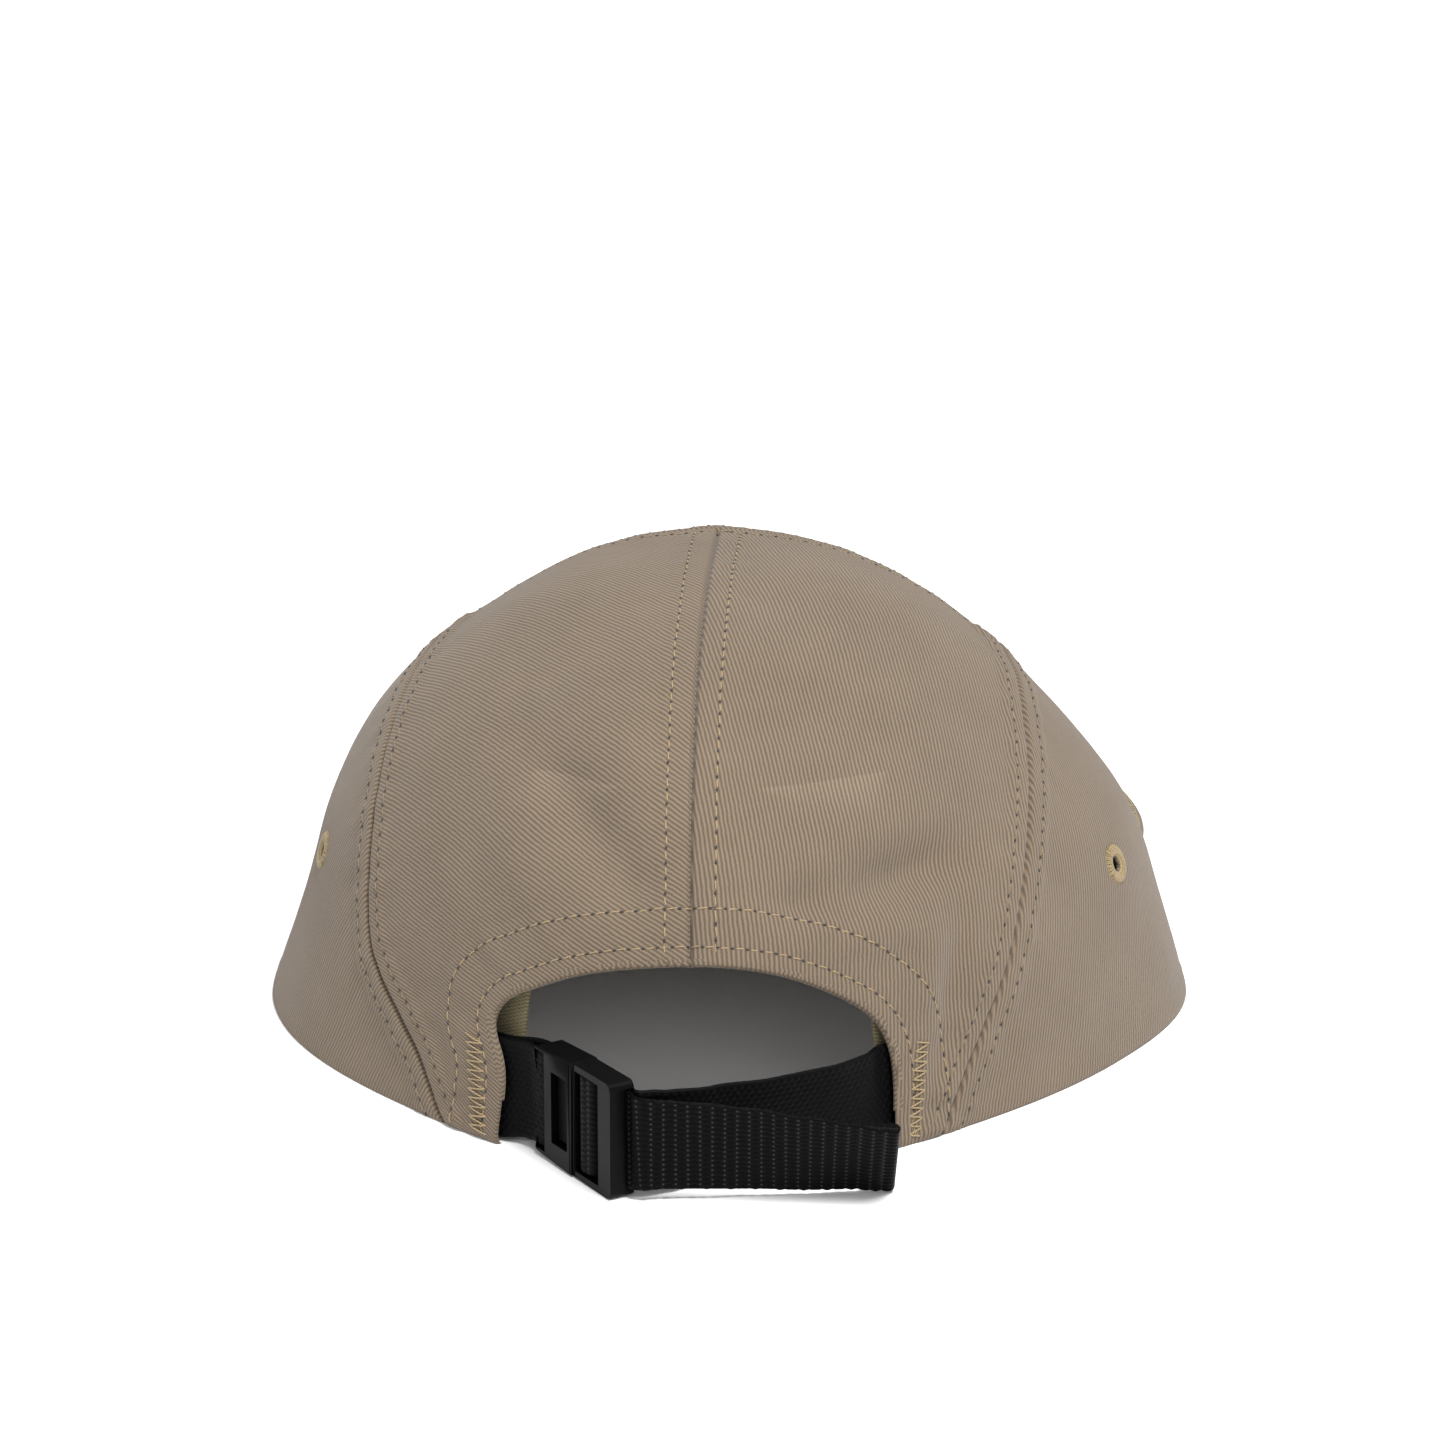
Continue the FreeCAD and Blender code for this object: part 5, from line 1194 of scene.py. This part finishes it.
# ------------------------------------------------------------------ buckle
def cells(name, ss, ns, zs, solid, warp, mat, corners=None, corner_r=1.1, bevel=0.35):
    """A moulded part from a grid of cells in the strap's own directions, with rounded edges."""
    bm = bmesh.new()
    cache = {}

    def vert(i, j, k):
        key = (i, j, k)
        if key not in cache:
            s, m, z = warp(ss[i], ns[j], zs[k])
            cache[key] = bm.verts.new((s, m, z))
        return cache[key]

    full = {}
    for i in range(len(ss) - 1):
        for j in range(len(ns) - 1):
            for k in range(len(zs) - 1):
                full[(i, j, k)] = solid((ss[i] + ss[i + 1]) / 2, (ns[j] + ns[j + 1]) / 2, (zs[k] + zs[k + 1]) / 2)
    for (i, j, k), f in full.items():
        if not f:
            continue
        for d, quad in (((-1, 0, 0), [(0, 0, 0), (0, 0, 1), (0, 1, 1), (0, 1, 0)]), ((1, 0, 0), [(1, 0, 0), (1, 1, 0), (1, 1, 1), (1, 0, 1)]),
                        ((0, -1, 0), [(0, 0, 0), (1, 0, 0), (1, 0, 1), (0, 0, 1)]), ((0, 1, 0), [(0, 1, 0), (0, 1, 1), (1, 1, 1), (1, 1, 0)]),
                        ((0, 0, -1), [(0, 0, 0), (0, 1, 0), (1, 1, 0), (1, 0, 0)]), ((0, 0, 1), [(0, 0, 1), (1, 0, 1), (1, 1, 1), (0, 1, 1)])):
            if not full.get((i + d[0], j + d[1], k + d[2]), False):
                bm.faces.new([vert(i + a, j + b, k + c) for a, b, c in quad])
    bmesh.ops.recalc_face_normals(bm, faces=bm.faces)
    bmesh.ops.dissolve_limit(bm, angle_limit=math.radians(0.6), verts=bm.verts, edges=bm.edges)
    if corners:
        es = [e for e in bm.edges if corners(e.verts[0].co, e.verts[1].co)]
        bmesh.ops.bevel(bm, geom=es, offset=corner_r, segments=5, profile=0.5, affect="EDGES", clamp_overlap=True)
    es = [e for e in bm.edges if len(e.link_faces) == 2 and e.calc_face_angle() > math.radians(35)]
    bmesh.ops.bevel(bm, geom=es, offset=bevel, segments=3, profile=0.5, affect="EDGES", clamp_overlap=True)
    bmesh.ops.triangulate(bm, faces=[f for f in bm.faces if len(f.verts) > 4])
    for v in bm.verts:
        s, m, z = v.co
        w = A + U * s + N * m
        v.co = Vector((w[0], w[1], BZ + z)) / 1000.0
    bmesh.ops.recalc_face_normals(bm, faces=bm.faces)
    me = bpy.data.meshes.new(name)
    bm.to_mesh(me)
    bm.free()
    for p in me.polygons:
        p.use_smooth = True
    o = bpy.data.objects.new(name, me)
    bpy.context.scene.collection.objects.link(o)
    me.materials.append(mat)
    mod = o.modifiers.new("wn", "WEIGHTED_NORMAL")
    mod.keep_sharp = True
    return o


def socket_half(s):
    return 10.9 + (11.7 - 10.9) * min(max(s / 14.1, 0), 1)


def socket_solid(s, n, z):
    az = abs(z)
    if s < 1.75:
        return az > 10.35 or abs(n) < 1.1
    if s < 3.7:
        return az > 10.35
    if 4.6 < s and az < 9.3 and abs(n) < 1.7:
        return False
    if 6.4 < s < 12.5 and az < 7.4 and n > 0:
        return False
    if 13.3 < s < 13.6 and n > 2.72:
        return False
    return True


def socket_warp(s, n, z):
    h = socket_half(s)
    if abs(z) > 10.6:
        z = math.copysign(h, z)
    return s, n, z


o = cells("buckle_socket_body", [0, 1.75, 3.7, 4.6, 6.4, 12.5, 13.3, 13.6, 14.1], [-3, -1.7, -1.1, 1.1, 1.7, 2.72, 3], [-11.5, -10.35, -9.3, -7.4, 7.4, 9.3, 10.35, 11.5],
          socket_solid, socket_warp, PLAST, lambda a, b: abs(a.x) < 0.01 and abs(b.x) < 0.01 and abs(a.z - b.z) < 0.01 and abs(a.z) > 10.6, 1.4, 0.42)
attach(o, "crown")
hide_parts("buckle_socket")


def plug_solid(s, n, z):
    az = abs(z)
    if s > 14.35:
        if abs(n) > 2.7:
            return False
        if 14.7 < s < 15.0 and n > 2.42:
            return False
        if 15.1 < s < 23.9 and az < 10.4:
            return 16.85 < s < 19.75 and abs(n) < 1.0
        if s > 23.9 and az < 10.4 and n < -0.6:
            return False
        return True
    if s > 13.35:
        return az < 9.05 and abs(n) < 1.4
    return 7.5 < az < 9.05 and abs(n) < 1.4


def plug_warp(s, n, z):
    if abs(z) > 10.6:
        z = math.copysign(11.7 + 0.2 * (s - 14.35) / 14.25, z)
    if s > 24 and n > 2.6 and abs(z) < 10.6:
        pass
    if s < 6 and abs(z) > 7.4 and s < 5.3:
        z *= 0.975
    return s, n, z


o = cells("buckle_plug_body", [5.2, 6.4, 13.35, 14.35, 14.7, 15.0, 15.1, 16.85, 19.75, 23.9, 28.6], [-2.7, -1.4, -1.0, -0.6, 1.0, 1.4, 2.42, 2.7],
          [-12, -10.4, -9.05, -7.5, 7.5, 9.05, 10.4, 12], plug_solid, plug_warp, PLAST,
          lambda a, b: a.x > 28.4 and b.x > 28.4 and abs(a.z - b.z) < 0.01 and abs(a.z) > 10.6, 1.8, 0.42)
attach(o, "plug")
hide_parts("buckle_plug")

# latch pad: a plate with a finely pebbled face, lowered along one end
nx_, nz_ = 64, 120
xs_, zs_ = np.linspace(5.6, 13.0, nx_), np.linspace(-7.1, 7.1, nz_)
X, Z = np.meshgrid(xs_, zs_, indexing="ij")
rr_ = np.random.RandomState(5)
peb = rr_.uniform(0, 1, (nx_, nz_))
peb = (peb + np.roll(peb, 1, 0) + np.roll(peb, 1, 1)) / 3
inside = smooth(np.minimum(np.minimum(X - 5.6, 13.0 - X), np.minimum(Z + 7.1, 7.1 - Z)), 0.5, 1.0)
e_ = np.clip(np.minimum(np.minimum(X - 5.6, 13.0 - X), np.minimum(Z + 7.1, 7.1 - Z)) / 0.35, 0, 1)
top = 1.5 - 0.35 * (1 - np.sqrt(1 - (1 - e_) ** 2)) - inside * (0.22 - 0.14 * peb) - 0.65 * (1 - smooth(X, 5.6, 6.4))
bot = 0.0 + 0.3 * (1 - np.sqrt(1 - (1 - e_) ** 2))


def loc(X, M, Z):
    return A + U * X[..., None] + N * M[..., None] + np.array([0, 0, 1.0]) * (BZ + Z)[..., None]


v1, v2 = loc(X, top, Z).reshape(-1, 3), loc(X, bot, Z).reshape(-1, 3)
q1 = grid_quads(nx_, nz_)
e = boundary([q1])
k = len(v1)
walls = np.stack([e[:, 1], e[:, 0], e[:, 0] + k, e[:, 1] + k], 1)
vv = np.concatenate([v1, v2])
qq = np.concatenate([q1, q1[:, ::-1] + k, walls])
tri = np.concatenate([qq[:, [0, 1, 2]], qq[:, [0, 2, 3]]])
if ((vv[tri[:, 0]] - vv[0]) * np.cross(vv[tri[:, 1]] - vv[0], vv[tri[:, 2]] - vv[0])).sum() < 0:
    qq = qq[:, ::-1]
o = make("latch_pad", vv, qq, None, None, PADM)
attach(o, "latch")
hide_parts("latch_tongue")

# the load and tail straps: their transforms baked into their meshes
s_a, s_b = local(30.5, -2.6), P2(20.0, -99.0)
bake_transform(web_load)
tuple(np.append(local(29.0, -1.5)[:2], 12.0) / 1000.0)
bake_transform(web_tail)

# ------------------------------------------------------------------ visor
OUTER = [(-76.6, 57.5), (-81.6, 66.5), (-86.0, 80), (-88.2, 95), (-87, 112), (-81, 130), (-68.5, 146), (-48, 157.5), (-25, 163.6), (0, 165.5),
         (25, 163.6), (48, 157.5), (68.5, 146), (81, 130), (87, 112), (88.2, 95), (86.0, 80), (81.6, 66.5), (76.6, 57.5)]
outer_f = through([(x, y, 0) for x, y in OUTER], False)
VIS0, VIS1, VG = 143.0, 37.0, 1.4


def visor_plan(t, v, reach):
    """t along the visor from left to right, v from the crown to the edge; arrays broadcast."""
    turn = VIS0 + (VIS1 - VIS0) * t
    p = at(turn, 0 * t + 0.03)
    n = normal(p)
    m = unit(n * np.array([1, 1, 0.0]))
    i = p + m * VG
    i[..., 2] = 0
    o_ = outer_f(t)
    d = o_ - i
    span = np.linalg.norm(d, axis=-1, keepdims=True)
    d = d / span
    return i[:, None] + d[:, None] * (np.maximum(span, 0.6)[:, None] * v[None, :, None] + reach[None, :, None])


def visor_mid(p, v):
    return 3.4 + 4.5 * np.minimum(v, 1.0)[None] * np.maximum(0.0, 1 - (p[..., 0] / 88.2) ** 2)


vrow = Waves(41, 30, 70)


def visor_cloth(name, sign, mat, node_name):
    t = np.linspace(0.012, 0.988, 230)
    tuck = (-0.012, 0.0, 0.012) if sign > 0 else (0.02, 0.026, 0.034)
    v = np.concatenate([tuck[:2], np.linspace(tuck[2], 1.0, 120), np.full(7, 1.0)])
    reach = np.concatenate([np.zeros(122), [0.9, 1.6, 2.2, 2.6, 2.85, 2.97, 3.0]])
    lift = np.concatenate([np.full(122, 1.82), [1.74, 1.55, 1.22, 0.86, 0.5, 0.2, 0.06]])
    p = visor_plan(t, v, reach)
    base = visor_mid(p, v)
    w = 0.14 * vrow(p * np.array([1, 1, 0.0])) * smooth(v, 0.02, 0.2)[None] * (1 - smooth(reach, 0, 2))[None]
    groove = np.zeros_like(base)
    edge_d = np.linalg.norm(visor_plan(t, np.array([1.0]), np.array([0.0])) - p, axis=-1)
    for k in range(6):
        groove -= 0.16 * np.exp(-((edge_d - (4.0 + 8.5 * k)) / 0.6) ** 2) * (reach[None] < 0.01)
    z = base + sign * (lift[None] + (w + groove))
    g = np.concatenate([p[..., :2], z[..., None]], -1)
    n = np.cross(np.gradient(g, axis=0), np.gradient(g, axis=1))
    n = unit(n)
    n = np.where((n[..., 2:3] * sign) < 0, -n, n) if sign > 0 else np.where(n[..., 2:3] > 0, -n, n)
    o = cloth_sheet(name, g, 0.6, mat, n)
    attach(o, "visor")
    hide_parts(*node_name)
    cs = []
    for k in range(6):
        v_of = []
        off = 4.0 + 8.5 * k
        sel = edge_d[:, :122]
        j = np.array([np.argmin(abs(sel[i] - off)) if sel[i].max() > off + 3 else -1 for i in range(len(t))])
        ok = j > 0
        idx = np.where(ok)[0]
        if len(idx) < 10:
            continue
        jj = j[idx]
        # refine between grid rows
        a, b = g[idx, jj], g[idx, jj - 1]
        da, db = edge_d[idx, jj], edge_d[idx, jj - 1]
        f = np.clip((da - off) / np.where(abs(da - db) < 1e-6, 1, da - db), -1, 1)[:, None]
        line = a + (b - a) * f
        c, d = walk(line, 3.1, 1.5, 1.5)
        nn_ = np.tile(np.array([0, 0, float(sign)]), (len(c), 1))
        cs.append((c, d, nn_))
    o2 = capsules(name + "_stitches", np.concatenate([c[0] for c in cs]), np.concatenate([c[1] for c in cs]),
                  np.concatenate([c[2] for c in cs]), 2.65, 0.2, THREAD, 0.3)
    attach(o2, "visor")
    return g


visor_cloth("visor_top_cloth", 1, TW_V, ["visor_top_cover"])
visor_cloth("visor_under_cloth", -1, TW_V, ["visor_under_cover"])
t = np.linspace(0.012, 0.988, 120)
v = np.linspace(0.024, 1, 40)
p = visor_plan(t, v, 0 * v)
g = np.concatenate([p[..., :2], (visor_mid(p, v) + 0.95)[..., None]], -1)
nrm = np.zeros_like(g)
nrm[..., 2] = 1
o = cloth_sheet("visor_stiffener", g, 1.9, BOARD, nrm)
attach(o, "visor")
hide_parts("visor_board")

# ------------------------------------------------------------------ stage, light and camera
def stage_mat(name, c, rough=0.9):
    m, nt, b = mat_new(name)
    b.inputs["Base Color"].default_value = (c, c, c, 1)
    b.inputs["Roughness"].default_value = rough
    b.inputs["Specular IOR Level"].default_value = 0.1
    return m


fv = [(-9000, -9000, -0.12), (9000, -9000, -0.12), (9000, 800, -0.12), (-9000, 800, -0.12)]
floor = make("floor", fv, [[0, 1, 2, 3]], None, None, stage_mat("floor_white", 0.93), False)

world = bpy.data.worlds.new("studio")
bpy.context.scene.world = world
world.use_nodes = True
wn = world.node_tree
bg = wn.nodes["Background"]
bg.inputs[0].default_value = (1, 1, 1, 1)
path_ = wn.nodes.new("ShaderNodeLightPath")
mul = wn.nodes.new("ShaderNodeMath")
mul.operation = "MULTIPLY_ADD"
mul.inputs[1].default_value = 0.45
mul.inputs[2].default_value = 0.6
wn.links.new(path_.outputs["Is Camera Ray"], mul.inputs[0])
wn.links.new(mul.outputs[0], bg.inputs[1])


def area(name, loc_, target, size, power):
    li = bpy.data.lights.new(name, "AREA")
    li.shape = "RECTANGLE"
    li.size, li.size_y = size
    li.energy = power
    ob = bpy.data.objects.new(name, li)
    ob.location = loc_
    ob.rotation_euler = (Vector(target) - Vector(loc_)).to_track_quat("-Z", "Y").to_euler()
    bpy.context.scene.collection.objects.link(ob)
    return ob


area("key_top", (0.35, -0.45, 1.3), (0, 0, 0.05), (0.5, 0.5), 27.0)
area("fill_rear", (0.7, -1.6, 0.8), (0, 0, 0.05), (0.8, 0.8), 4.0)
inside = area("fill_inside", (0, -0.045, 0.066), (0, -0.05, 0), (0.07, 0.05), 0.0042)
inside.visible_camera = False
area("fill_left", (-1.4, -0.7, 0.5), (0, 0, 0.05), (0.9, 0.7), 4.5)

cam_d = bpy.data.cameras.new("camera")
cam = bpy.data.objects.new("camera", cam_d)
bpy.context.scene.collection.objects.link(cam)
cam_d.lens, cam_d.sensor_width = 130.5, 36.0
cam_d.clip_end = 100.0
cam.location = (0.061085, -1.046208, 0.393181)
cam.rotation_euler = Vector((-0.05625, 0.95110, -0.30372)).to_track_quat("-Z", "Y").to_euler()
bpy.context.scene.camera = cam
bpy.context.scene.view_settings.view_transform = "Standard"
